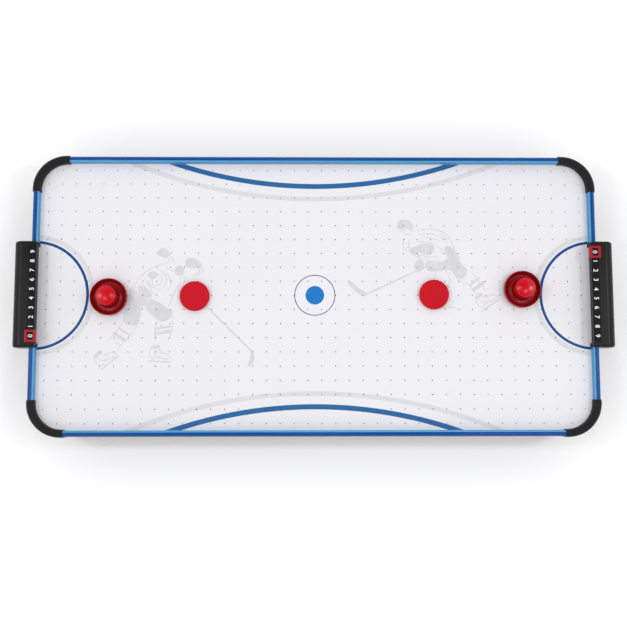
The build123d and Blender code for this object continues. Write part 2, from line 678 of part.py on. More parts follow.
def loose_pieces():
    """Strikers with their felt pads, and pucks."""
    pieces = {}
    for side, (x, y) in STRIKER_PLACES.items():
        pieces[f"striker_{side}"] = striker(x, y)
        pieces[f"striker_felt_{side}"] = disc(x, y, FELT_RADIUS, FIELD_TOP, FIELD_TOP + FELT_THICK)
    for side, (x, y) in PUCK_PLACES.items():
        pieces[f"puck_{side}"] = puck(x, y)
    return pieces


def screw_groups():
    """Each kind of screw as one group of separate solids."""
    down = FLOOR_TO_PANEL
    pads = four_corners("foot", screw((*pad_centre(), PAD_RECESS_DEPTH), (0, 0, 1), 12))
    return {
        "panel_screws": [screw((x, y, down), (0, 0, 1), PANEL_SCREW_LENGTH) for x, y in panel_screw_places()],
        "rail_screws": [
            screw(start, direction, RAIL_SCREW_LENGTH, RAIL_SCREW_HEAD) for start, direction in rail_screw_places()
        ],
        "blower_screws": [screw((x, y, down), (0, 0, 1), 9) for x, y in blower_screw_places()],
        "grille_screws": [
            screw((x, y, down - GRILLE_THICK), (0, 0, 1), GRILLE_THICK + PANEL_THICK) for x, y in grille_screw_places()
        ],
        "tray_screws": [screw(start, direction, TRAY_SCREW_LENGTH) for start, direction in tray_screw_places()],
        "foot_screws": list(pads.values()),
    }


def all_parts():
    """Every named piece of the table."""
    parts = {"playfield": playfield(), "bottom_panel": bottom_panel()}
    parts |= rails()
    parts |= four_corners("elbow", elbow())
    parts |= four_corners("corner_leg", corner_leg())
    parts |= four_corners("foot_pad", foot_pad())
    parts |= aprons()
    parts |= {f"field_rib_{name}": field_rib(x) for name, x in RIB_PLACES.items()}
    parts |= both_ends("goal_hood", goal_hood())
    parts |= both_ends("goal_tray", goal_tray())
    parts |= both_ends("scorer_bar", scorer_bar())
    parts |= both_ends("scorer_slider", scorer_slider())
    parts |= blower()
    parts |= {
        "power_inlet": power_inlet(),
        "inlet_nut": inlet_nut(),
        "switch_case": switch_case(),
        "switch_rocker": switch_rocker(),
    }
    parts |= loose_pieces()
    parts |= {name: Compound(children=group) for name, group in screw_groups().items()}
    return parts


os.makedirs("parts", exist_ok=True)
for node, shape in all_parts().items():
    export_step(shape, f"parts/{node}.step")
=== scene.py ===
"""Looks of a tabletop air hockey table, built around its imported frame.

Metres, +X along the table, +Y across it, +Z up, origin on the floor under the table's centre.
Sizes are written in millimetres and multiplied by MM where a shape is made.
"""

import json
import logging
import math
from collections.abc import Sequence
from dataclasses import dataclass
from enum import Enum

import bpy
import numpy as np
from mathutils.geometry import delaunay_2d_cdt
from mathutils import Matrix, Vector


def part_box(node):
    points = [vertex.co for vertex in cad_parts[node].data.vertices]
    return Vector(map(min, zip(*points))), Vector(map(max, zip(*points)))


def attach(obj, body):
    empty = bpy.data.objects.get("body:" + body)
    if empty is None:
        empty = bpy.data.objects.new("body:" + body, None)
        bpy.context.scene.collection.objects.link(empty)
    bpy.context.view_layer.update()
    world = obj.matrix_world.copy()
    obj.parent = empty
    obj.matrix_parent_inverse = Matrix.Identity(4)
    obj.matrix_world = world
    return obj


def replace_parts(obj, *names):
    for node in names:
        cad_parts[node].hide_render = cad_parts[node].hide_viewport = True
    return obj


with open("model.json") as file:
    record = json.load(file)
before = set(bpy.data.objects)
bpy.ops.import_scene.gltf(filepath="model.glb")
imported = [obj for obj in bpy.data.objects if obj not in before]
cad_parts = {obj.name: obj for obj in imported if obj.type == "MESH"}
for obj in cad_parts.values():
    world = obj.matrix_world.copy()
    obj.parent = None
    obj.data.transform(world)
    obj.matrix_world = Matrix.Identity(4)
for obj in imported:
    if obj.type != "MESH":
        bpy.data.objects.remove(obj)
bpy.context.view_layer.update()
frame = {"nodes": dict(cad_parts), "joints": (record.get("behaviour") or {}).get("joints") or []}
MM = 0.001
LOG = logging.getLogger("air_hockey")
Colour = tuple[int, int, int]
Socket = bpy.types.NodeSocket


# ---------------------------------------------------------------- materials


def linear(colour: Sequence[float], share: float = 1.0) -> tuple[float, float, float, float]:
    """Undo the screen curve of a 0-255 colour and scale the light it gives back.

    Args:
        colour: Red, green and blue from 0 to 255.
        share: Factor on the linear values.

    Returns:
        Linear red, green, blue and an alpha of one.
    """
    part = np.array(colour, float) / 255
    bent = np.where(part <= 0.04045, part / 12.92, ((part + 0.055) / 1.055) ** 2.4) * share
    return (float(bent[0]), float(bent[1]), float(bent[2]), 1.0)


class Bench:
    """Lays out one material's nodes and joins them."""

    def __init__(self, name: str) -> None:
        """Start a material with its surface shader and a reading of the piece's own coordinates."""
        self.material = bpy.data.materials.new(name)
        self.material.use_nodes = True
        self.tree = self.material.node_tree
        self.shader = self.tree.nodes["Principled BSDF"]
        self.place = self.add("ShaderNodeTexCoord").outputs["Object"]

    def add(self, kind: str, **settings: object) -> bpy.types.Node:
        """Add a node and set its options."""
        node = self.tree.nodes.new(kind)
        for key, value in settings.items():
            setattr(node, key, value)
        return node

    def feed(self, node: bpy.types.Node, **inputs: object) -> bpy.types.Node:
        """Join sockets to a node's inputs, or set their values; an underscore in a name stands for a space."""
        for key, value in inputs.items():
            socket = node.inputs[key.replace("_", " ")]
            if isinstance(value, bpy.types.NodeSocket):
                self.tree.links.new(value, socket)
            else:
                socket.default_value = value
        return node

    def mapped(self, stretch: Sequence[float], turn: Sequence[float] = (0, 0, 0)) -> Socket:
        """The piece's coordinates, turned and then scaled along each axis."""
        node = self.feed(self.add("ShaderNodeMapping"), Vector=self.place, Rotation=turn, Scale=stretch)
        return node.outputs["Vector"]

    def noise(
        self, scale: float, detail: float = 3, stretch: Sequence[float] = (1, 1, 1), rough: float = 0.5
    ) -> Socket:
        """Soft noise of so many patches a metre."""
        node = self.feed(
            self.add("ShaderNodeTexNoise"), Vector=self.mapped(stretch), Scale=scale, Detail=detail, Roughness=rough
        )
        return node.outputs[0]

    def cells(self, scale: float, feature: str = "F1", stretch: Sequence[float] = (1, 1, 1)) -> Socket:
        """Distance to the nearest of scattered points, so many a metre."""
        node = self.feed(self.add("ShaderNodeTexVoronoi", feature=feature), Vector=self.mapped(stretch), Scale=scale)
        return node.outputs["Distance"]

    def span(self, value: Socket, start: float, end: float, low: float = 0.0, high: float = 1.0) -> Socket:
        """Carry the stretch from start to end onto low to high, held at both."""
        node = self.feed(
            self.add("ShaderNodeMapRange"), Value=value, From_Min=start, From_Max=end, To_Min=low, To_Max=high
        )
        return node.outputs[0]

    def work(self, operation: str, first: object, second: object = 0.0) -> Socket:
        """One sum on two numbers."""
        node = self.add("ShaderNodeMath", operation=operation)
        for socket, value in zip(node.inputs, (first, second)):
            if isinstance(value, bpy.types.NodeSocket):
                self.tree.links.new(value, socket)
            else:
                socket.default_value = value
        return node.outputs[0]

    def blend(self, share: Socket, first: object, second: object) -> Socket:
        """Mix two colours by a share."""
        node = self.add("ShaderNodeMix", data_type="RGBA")
        for socket, value in ((node.inputs[0], share), (node.inputs[6], first), (node.inputs[7], second)):
            if isinstance(value, bpy.types.NodeSocket):
                self.tree.links.new(value, socket)
            else:
                socket.default_value = value
        return node.outputs[2]

    def scratches(self, scale: float, fine: float) -> Socket:
        """Sparse thin lines in two directions: narrow bands of long noise where a broad noise lets them show."""
        lines = []
        for turn, stretch in ((0.5, (1, 14, 1)), (-0.9, (16, 1, 1))):
            vector = self.mapped(stretch, (0, 0, turn))
            node = self.feed(self.add("ShaderNodeTexNoise"), Vector=vector, Scale=scale, Detail=1)
            near = self.work("ABSOLUTE", self.work("SUBTRACT", node.outputs[0], 0.5))
            lines.append(self.span(near, fine, 0.0))
        shown = self.span(self.noise(scale * 0.7, 2), 0.5, 0.62)
        return self.work("MULTIPLY", self.work("MAXIMUM", lines[0], lines[1]), shown)

    def bump(self, height: Socket, depth: float, softened: float = 0.0) -> Socket:
        """Normal of a relief of this depth in metres, on edges rounded off by a radius in metres."""
        inputs = {"Height": height, "Strength": 1.0, "Distance": depth}
        if softened:
            edge = self.feed(self.add("ShaderNodeBevel", samples=6), Radius=softened)
            inputs["Normal"] = edge.outputs[0]
        return self.feed(self.add("ShaderNodeBump"), **inputs).outputs[0]

    def worn_edge(self, radius: float) -> Socket:
        """One along sharp edges and nought on flats: how far the rounded normal leans from the true one."""
        edge = self.feed(self.add("ShaderNodeBevel", samples=6), Radius=radius)
        dot = self.add("ShaderNodeVectorMath", operation="DOT_PRODUCT")
        self.tree.links.new(edge.outputs[0], dot.inputs[0])
        self.tree.links.new(self.add("ShaderNodeNewGeometry").outputs["Normal"], dot.inputs[1])
        return self.span(dot.outputs["Value"], 0.995, 0.8)


@dataclass(frozen=True)
class Finish:
    """Moulded or painted surface: colour patches, uneven gloss, fine relief and rounded, rubbed edges."""

    name: str
    colour: Colour
    darker: float = 0.85
    patches: float = 14.0
    gloss: tuple[float, float] = (0.35, 0.5)
    grain: float = 1400.0
    depth: float = 0.00001
    stretch: tuple[float, float, float] = (1, 1, 1)
    softened: float = 0.0
    rubbed: float = 0.0
    metallic: float = 0.0
    specular: float = 0.5
    sheen: float = 0.0

    def relief(self, bench: Bench) -> Socket:
        """Height of the fine grain from nought to one."""
        return bench.noise(self.grain, 3, self.stretch)

    def shade(self, bench: Bench) -> Socket:
        """Colour, from a darker patch to the full shade, paler along rubbed edges."""
        tone = bench.span(bench.noise(self.patches, 4), 0.3, 0.7)
        colour = bench.blend(tone, linear(self.colour, self.darker), linear(self.colour))
        if self.rubbed:
            broken = bench.span(bench.noise(90, 4), 0.4, 0.65)
            worn = bench.work("MULTIPLY", bench.worn_edge(self.softened * 1.5), broken)
            pale = tuple(c + (235 - c) * self.rubbed for c in self.colour)
            colour = bench.blend(worn, colour, linear(pale))
        return colour

    def smear(self, bench: Bench) -> Socket:
        """Roughness, uneven where hands and dust have been."""
        return bench.span(bench.noise(self.patches * 2.3, 5, rough=0.65), 0.3, 0.7, *self.gloss)

    def make(self) -> bpy.types.Material:
        """Build the material."""
        bench = Bench(self.name)
        bench.feed(
            bench.shader,
            Base_Color=self.shade(bench),
            Roughness=self.smear(bench),
            Normal=bench.bump(self.relief(bench), self.depth, self.softened),
            Metallic=self.metallic,
            Specular_IOR_Level=self.specular,
            Sheen_Weight=self.sheen,
        )
        return bench.material


@dataclass(frozen=True)
class Scratched(Finish):
    """Glossy plastic with sparse hairline scratches from play."""

    scale: float = 30.0
    fine: float = 0.006
    marks: float = 0.25

    def relief(self, bench: Bench) -> Socket:
        """Faint ripple with the scratches cut into it."""
        cut = bench.work("MULTIPLY", bench.scratches(self.scale, self.fine), -0.6)
        return bench.work("ADD", bench.noise(self.grain, 2, self.stretch), cut)

    def smear(self, bench: Bench) -> Socket:
        """Roughness, higher in the scratches."""
        cut = bench.work("MULTIPLY", bench.scratches(self.scale, self.fine), self.marks)
        return bench.work("ADD", Finish.smear(self, bench), cut)


@dataclass(frozen=True)
class Deep(Scratched):
    """Gloss red plastic with painted shade: darker in the bowl round the raised knob, full colour on the knob."""

    # Colour of the painted shade in the bowl.
    deep: Colour = (134, 3, 12)
    low: float = 0.104
    high: float = 0.123

    def shade(self, bench: Bench) -> Socket:
        """Painted shade: deep red below in the bowl, full colour above on the knob, changing over with height."""
        split = bench.feed(bench.add("ShaderNodeSeparateXYZ"), Vector=bench.place)
        # Nought in the shaded bowl and one on the knob: the painted shade lifts between these heights.
        raised = bench.span(split.outputs[2], self.low, self.high)
        return bench.blend(raised, linear(self.deep), Finish.shade(self, bench))


@dataclass(frozen=True)
class Laminate(Finish):
    """Printed wood-grain foil: long dark pores on a slightly paler ground, pressed in along the board."""

    pore: float = 420.0

    def pores(self, bench: Bench) -> Socket:
        """Long thin pores: where stretched noise falls low, broken up by a broader noise."""
        lines = bench.span(bench.noise(self.pore, 3, self.stretch), 0.5, 0.36)
        return bench.work("MULTIPLY", lines, bench.span(bench.noise(60, 2, self.stretch), 0.35, 0.6))

    def relief(self, bench: Bench) -> Socket:
        """Pores pressed below a lightly grained face."""
        return bench.work("SUBTRACT", bench.work("MULTIPLY", bench.noise(self.grain, 2), 0.25), self.pores(bench))

    def shade(self, bench: Bench) -> Socket:
        """Ground with darker pores."""
        ground = Finish.shade(self, bench)
        return bench.blend(self.pores(bench), ground, linear(self.colour, 0.35))


@dataclass(frozen=True)
class Board(Finish):
    """Raw hardboard: pressed brown fibres with darker flecks."""

    fleck: Colour = (88, 62, 40)

    def shade(self, bench: Bench) -> Socket:
        """Brown ground, mottled, with dark flecks between the fibres."""
        ground = Finish.shade(self, bench)
        mottled = bench.blend(bench.span(bench.noise(260, 5, rough=0.7), 0.42, 0.6), ground, linear(self.colour, 1.25))
        flecks = bench.span(bench.cells(520), 0.22, 0.08)
        return bench.blend(bench.work("MULTIPLY", flecks, 0.7), mottled, linear(self.fleck))

    def relief(self, bench: Bench) -> Socket:
        """Matted fibres: two noises, one long and one short."""
        return bench.work("ADD", bench.noise(700, 4, (1, 3, 1)), bench.noise(900, 4, (3, 1, 1)))


@dataclass(frozen=True)
class Foam(Finish):
    """Open foam or matted felt: small cells that break the surface."""

    pits: float = 1100.0

    def relief(self, bench: Bench) -> Socket:
        """Cell walls standing round pits."""
        return bench.work("ADD", bench.cells(self.pits), bench.noise(self.pits * 1.7, 4))

    def shade(self, bench: Bench) -> Socket:
        """Colour, with painted shade that makes it darker in the pits."""
        # Painted shade: near the cell centres, where the relief sinks into pits, the colour falls to six tenths of
        # itself.
        return bench.blend(
            bench.span(bench.cells(self.pits), 0.15, 0.5), linear(self.colour, 0.6), Finish.shade(self, bench)
        )


@dataclass(frozen=True)
class Metal(Finish):
    """Plated steel: bright, with fine turning lines and dull patches."""

    metallic: float = 1.0

    def smear(self, bench: Bench) -> Socket:
        """Roughness, duller where the plating has clouded."""
        cloud = bench.span(bench.noise(160, 5, rough=0.7), 0.35, 0.65, *self.gloss)
        return bench.work("ADD", cloud, bench.work("MULTIPLY", bench.noise(self.grain, 2, self.stretch), 0.1))


@dataclass(frozen=True)
class Rail(Scratched):
    """Blue lacquered tube: deep blue outside, with a painted reflection of the white field as a paler blue on the side
    that faces it, and a painted highlight line near the crown.
    """

    across: int = 1
    middle: float = 0.2466
    # Colour of the painted reflection of the white field on the tube's inner side.
    pale: Colour = (66, 130, 176)
    # Colour of the painted highlight line just inside the crown.
    bright: Colour = (98, 178, 220)

    def shade(self, bench: Bench) -> Socket:
        """Deep blue up to the tube's crown, then a thin painted highlight line, then a paler blue painted reflection of
        the field down to the field.
        """
        split = bench.feed(bench.add("ShaderNodeSeparateXYZ"), Vector=bench.place)
        out = bench.work("ABSOLUTE", split.outputs[self.across])
        # Painted reflection share: nought outside the crown and one on the side facing the field. The painted highlight
        # line lies just inside the crown.
        field_reflection_share = bench.span(out, self.middle + 0.0003, self.middle - 0.0006)
        line = bench.work("MULTIPLY", field_reflection_share, bench.span(out, self.middle - 0.0024, self.middle - 0.0012))
        with_field_reflection = bench.blend(field_reflection_share, Finish.shade(self, bench), linear(self.pale))
        return bench.blend(bench.work("MULTIPLY", line, 0.45), with_field_reflection, linear(self.bright))


@dataclass(frozen=True)
class Ink(Finish):
    """Thin dull printing ink."""

    darker: float = 0.93
    patches: float = 40.0
    gloss: tuple[float, float] = (0.25, 0.4)
    grain: float = 1200.0
    depth: float = 0.000004
    specular: float = 0.15


ALONG_X = (0.04, 1.0, 1.0)
ALONG_Y = (1.0, 0.04, 1.0)


class Look(Enum):
    """Every finish on the table."""

    FIELD = Scratched(
        "field_satin", (216, 215, 220), 0.97, 3.0, (0.42, 0.55), 900, 0.000004, specular=0.3, scale=9, fine=0.004,
        marks=0.1,
    )
    # Both rail finishes are deep blue with a painted reflection of the field on the inner side and a painted highlight
    # line.
    RAIL_X = Rail(
        "rail_blue_long", (2, 68, 136), 0.92, 6.0, (0.16, 0.24), 1500, 0.00001, ALONG_X, specular=0.25, fine=0.004,
        marks=0.1,
    )
    RAIL_Y = Rail(
        "rail_blue_end", (2, 68, 136), 0.92, 6.0, (0.16, 0.24), 1500, 0.00001, ALONG_Y, fine=0.004, marks=0.1,
        specular=0.25, across=0, middle=0.5043,
    )
    ELBOW = Finish(
        "elbow_grained", (15, 15, 16), 0.8, 20.0, (0.45, 0.58), 1900, 0.00005, softened=0.0005, rubbed=0.08,
        specular=0.2,
    )
    HOOD = Finish(
        "hood_satin", (9, 9, 10), 0.8, 12.0, (0.3, 0.4), 2100, 0.00002, softened=0.0005, rubbed=0.06, specular=0.18,
    )
    TRAY = Finish("tray_grained", (22, 22, 24), 0.8, 12.0, (0.42, 0.55), 1700, 0.00004, softened=0.0004, rubbed=0.1)
    LEG = Finish("leg_grained", (22, 22, 24), 0.8, 18.0, (0.4, 0.55), 1700, 0.00005, softened=0.0006, rubbed=0.14)
    APRON_X = Laminate("apron_foil_long", (34, 33, 34), 0.8, 9.0, (0.34, 0.46), 1900, 0.00006, ALONG_X, 0.0004, 0.15)
    APRON_Y = Laminate("apron_foil_end", (34, 33, 34), 0.8, 9.0, (0.34, 0.46), 1900, 0.00006, ALONG_Y, 0.0004, 0.15)
    BOARD = Board("raw_hardboard", (146, 108, 72), 0.75, 11.0, (0.7, 0.85), 900, 0.00008)
    RUBBER = Finish("pad_rubber", (38, 38, 40), 0.7, 40.0, (0.75, 0.9), 1300, 0.00008, softened=0.0005)
    FOAM = Foam("gasket_foam", (60, 60, 62), 0.8, 20.0, (0.85, 0.95), 1100, 0.0002)
    FELT = Foam("pad_felt", (70, 72, 76), 0.7, 60.0, (0.9, 1.0), 1400, 0.0001, sheen=0.4, pits=1600.0)
    SCORER = Finish("scorer_satin", (9, 9, 10), 0.85, 14.0, (0.4, 0.5), 2100, 0.00002, softened=0.0004, specular=0.12)
    MARKER = Scratched(
        "marker_gloss", (160, 6, 26), 0.9, 60.0, (0.25, 0.35), 1200, 0.000006, softened=0.0004, specular=0.2,
    )
    STRIKER = Deep(
        "striker_gloss", (184, 4, 22), 0.92, 30.0, (0.2, 0.27), 1100, 0.000006, specular=0.3, scale=40, marks=0.12,
    )
    PUCK = Scratched(
        "puck_satin", (184, 5, 26), 0.92, 24.0, (0.4, 0.52), 1500, 0.00001, specular=0.15, scale=45, marks=0.15,
    )
    FAN = Finish("fan_ivory", (196, 192, 180), 0.88, 24.0, (0.4, 0.5), 900, 0.00002, softened=0.0002)
    CAN = Metal("motor_can", (176, 178, 182), 0.85, 30.0, (0.28, 0.42), 1600, 0.00001, (1, 1, 0.05), 0.0003)
    STEEL = Metal("zinc_steel", (188, 190, 196), 0.8, 90.0, (0.22, 0.36), 2600, 0.00001, softened=0.0001)
    BLUE_INK = Ink("ink_blue", (43, 96, 150))
    NAVY_INK = Ink("ink_navy", (14, 72, 130))
    DARK_INK = Ink("ink_dark", (24, 40, 76))
    SKY_INK = Ink("ink_bright", (4, 109, 182), 0.95)
    GREY_INK = Ink("ink_grey", (203, 203, 206), 0.97, gloss=(0.35, 0.5))
    PALE_INK = Ink("ink_pale", (201, 201, 204), 0.9, 60.0, (0.35, 0.5))
    LINE_INK = Ink("ink_line", (196, 196, 199), 0.95, 60.0, (0.35, 0.5))
    WHITE_INK = Finish("ink_white", (238, 238, 240), 0.95, 60.0, (0.3, 0.45), 1400, 0.000006)
    FLOOR = Finish("studio_floor", (246, 246, 247), 0.985, 0.9, (0.6, 0.75), 120, 0.00005)

    def material(self) -> bpy.types.Material:
        """The finish's material, made the first time it is asked for."""
        return bpy.data.materials.get(self.value.name) or self.value.make()


NODE_LOOKS = {
    Look.FIELD: ("playfield",),
    Look.RAIL_X: ("rail_front", "rail_back"),
    Look.RAIL_Y: ("rail_right_back", "rail_right_front", "rail_left_front", "rail_left_back"),
    Look.ELBOW: ("elbow_right_back", "elbow_right_front", "elbow_left_front", "elbow_left_back"),
    Look.HOOD: ("goal_hood_right", "goal_hood_left"),
    Look.TRAY: ("goal_tray_right", "goal_tray_left", "intake_grille", "blower_housing"),
    Look.LEG: (
        "corner_leg_right_back", "corner_leg_right_front", "corner_leg_left_front", "corner_leg_left_back",
        "power_inlet", "switch_case", "switch_rocker",
    ),
    Look.APRON_X: ("apron_front", "apron_back"),
    Look.APRON_Y: ("apron_right", "apron_left"),
    Look.BOARD: (
        "bottom_panel",
        "field_rib_outer_left", "field_rib_inner_left", "field_rib_inner_right", "field_rib_outer_right",
    ),
    Look.RUBBER: ("foot_pad_right_back", "foot_pad_right_front", "foot_pad_left_front", "foot_pad_left_back"),
    Look.FOAM: ("blower_gasket",),
    Look.FELT: ("striker_felt_left", "striker_felt_right"),
    Look.SCORER: ("scorer_bar_right", "scorer_bar_left"),
    Look.MARKER: ("scorer_slider_right", "scorer_slider_left"),
    Look.FAN: ("impeller",),
    Look.CAN: ("blower_motor",),
    Look.STEEL: (
        "motor_shaft", "inlet_nut", "panel_screws", "rail_screws", "blower_screws", "grille_screws", "tray_screws",
        "foot_screws",
    ),
}


def dress_nodes() -> None:
    """Give every CAD node its finish through its material slots."""
    for look, names in NODE_LOOKS.items():
        for name in names:
            node = frame["nodes"][name]
            for place in range(len(node.material_slots)):
                node.material_slots[place].material = look.material()
        LOG.info("%s on %s", look.value.name, ", ".join(names))


# ------------------------------------------------------------------- shapes


def new_piece(
    name: str, points: np.ndarray, faces: Sequence, look: Look, body: str = "table", sharp: float = 35.0
) -> bpy.types.Object:
    """Put points and faces into a mesh, dress it and make it ride on a body.

    Args:
        name: The piece's name.
        points: Rows of x, y, z in metres.
        faces: Point numbers of each face, anticlockwise from outside.
        look: Finish.
        body: CAD body that it moves with.
        sharp: Edges that turn more than this, in degrees, stay crisp.

    Returns:
        The piece's object.
    """
    mesh = bpy.data.meshes.new(name)
    mesh.from_pydata(np.asarray(points, float).tolist(), [], [list(map(int, face)) for face in faces])
    mesh.validate()
    mesh.shade_smooth()
    mesh.set_sharp_from_angle(angle=math.radians(sharp))
    mesh.materials.append(look.material())
    piece = bpy.data.objects.new(name, mesh)
    bpy.context.scene.collection.objects.link(piece)
    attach(piece, body)
    LOG.info("%s: %d points, %d faces, rides on %s", name, len(mesh.vertices), len(mesh.polygons), body)
    return piece


def lathe(profile: np.ndarray, turns: int) -> tuple[np.ndarray, list]:
    """Turn a profile round the upright axis.

    Profile row i at turn k lies at radius r_i in the direction of angle 2 pi k / turns, at height z_i. The first and
    last rows stand on the axis and become single poles, joined to their neighbours by fans.

    Args:
        profile: Rows of radius and height, from the lower pole outwards and up to the upper pole.
        turns: Number of directions.

    Returns:
        Points and faces.
    """
    angle = np.linspace(0, 2 * np.pi, turns, endpoint=False)
    rings = profile[1:-1]
    x = rings[:, :1] * np.cos(angle)
    y = rings[:, :1] * np.sin(angle)
    z = np.repeat(rings[:, 1:], turns, axis=1)
    body = np.stack([x, y, z], axis=-1).reshape(-1, 3)
    points = np.vstack([body, [0, 0, profile[0, 1]], [0, 0, profile[-1, 1]]])
    low_pole, high_pole = len(body), len(body) + 1
    ids = np.arange(len(body)).reshape(len(rings), turns)
    beside = np.roll(ids, -1, axis=1)
    quads = np.stack([ids[:-1], beside[:-1], beside[1:], ids[1:]], axis=-1).reshape(-1, 4)
    under = np.stack([np.full(turns, low_pole), beside[0], ids[0]], axis=-1)
    over = np.stack([np.full(turns, high_pole), ids[-1], beside[-1]], axis=-1)
    return points, [*quads, *under, *over]


def bezier(start: Sequence, first: Sequence, second: Sequence, end: Sequence, count: int) -> np.ndarray:
    """Points on a cubic curve from start to end, pulled towards its two handles by the Bernstein weights."""
    t = np.linspace(0, 1, count)[:, None]
    s = 1 - t
    near = s**3 * np.array(start) + 3 * s**2 * t * np.array(first)
    return near + 3 * s * t**2 * np.array(second) + t**3 * np.array(end)


def arc(centre: Sequence, radius: float, start: float, end: float, count: int) -> np.ndarray:
    """Points on a circle's arc between two angles in degrees."""
    angle = np.radians(np.linspace(start, end, count))
    return np.array(centre) + radius * np.stack([np.cos(angle), np.sin(angle)], axis=-1)


def capsule(start: Sequence, end: Sequence, first: float, last: float, count: int = 12) -> np.ndarray:
    """Plan of a bar: a half circle of one radius at its start and of another at its end, joined by straight sides."""
    a, b = np.array(start, float), np.array(end, float)
    heading = math.degrees(math.atan2(b[1] - a[1], b[0] - a[0]))
    return np.vstack([
        arc(a, first, heading + 90, heading + 270, count),
        arc(b, last, heading - 90, heading + 90, count),
    ])


def anticlockwise(loop: np.ndarray) -> np.ndarray:
    """The loop, turned round where the sum of its edges' cross products, twice its area, is below nought."""
    ahead = np.roll(loop, -1, axis=0)
    twice = np.sum(loop[:, 0] * ahead[:, 1] - ahead[:, 0] * loop[:, 1])
    return loop[::-1] if twice < 0 else loop


def slab(
    outlines: Sequence[np.ndarray], low: float, high: float, holes: Sequence[np.ndarray] = ()
) -> tuple[np.ndarray, list]:
    """Flat film with the union of outlines as its plan.

    The outlines and holes are cut into triangles between their edges. Triangles inside an outline and outside every
    hole are kept, raised to the top and the bottom, and walled along each edge that only one of them has.

    Args:
        outlines: Closed plans, each an array of x and y in metres.
        low: Height of the underside.
        high: Height of the top.
        holes: Closed plans that are left out.

    Returns:
        Points and faces.
    """
    loops = [anticlockwise(loop) for loop in (*outlines, *holes)]
    starts = np.cumsum([0] + [len(loop) for loop in loops])
    numbers = [list(range(starts[i], starts[i + 1])) for i in range(len(loops))]
    cut = delaunay_2d_cdt(np.vstack(loops).tolist(), [], numbers, 1, 1e-9, True)
    flat = np.array([(v.x, v.y) for v in cut[0]])
    inside = [bool(ids) and all(number < len(outlines) for number in ids) for ids in cut[5]]
    faces = np.array(cut[2], dtype=object)[np.array(inside)]
    faces = np.array(faces.tolist(), int).reshape(-1, 3)
    a, b, c = flat[faces[:, 0]], flat[faces[:, 1]], flat[faces[:, 2]]
    area = (b[:, 0] - a[:, 0]) * (c[:, 1] - a[:, 1]) - (b[:, 1] - a[:, 1]) * (c[:, 0] - a[:, 0])
    faces = np.where(area[:, None] < 0, faces[:, ::-1], faces)
    used, packed = np.unique(faces, return_inverse=True)
    faces, flat = packed.reshape(-1, 3), flat[used]
    edges = np.vstack([faces[:, [0, 1]], faces[:, [1, 2]], faces[:, [2, 0]]])
    _, first, count = np.unique(np.sort(edges, axis=1), axis=0, return_index=True, return_counts=True)
    rim = edges[first[count == 1]]
    size = len(flat)
    points = np.vstack([np.column_stack([flat, np.full(size, z)]) for z in (high, low)])
    walls = np.column_stack([rim[:, 1], rim[:, 0], rim[:, 0] + size, rim[:, 1] + size])
    return points, [*faces, *(faces[:, ::-1] + size), *walls]


# -------------------------------------------------------------- the field


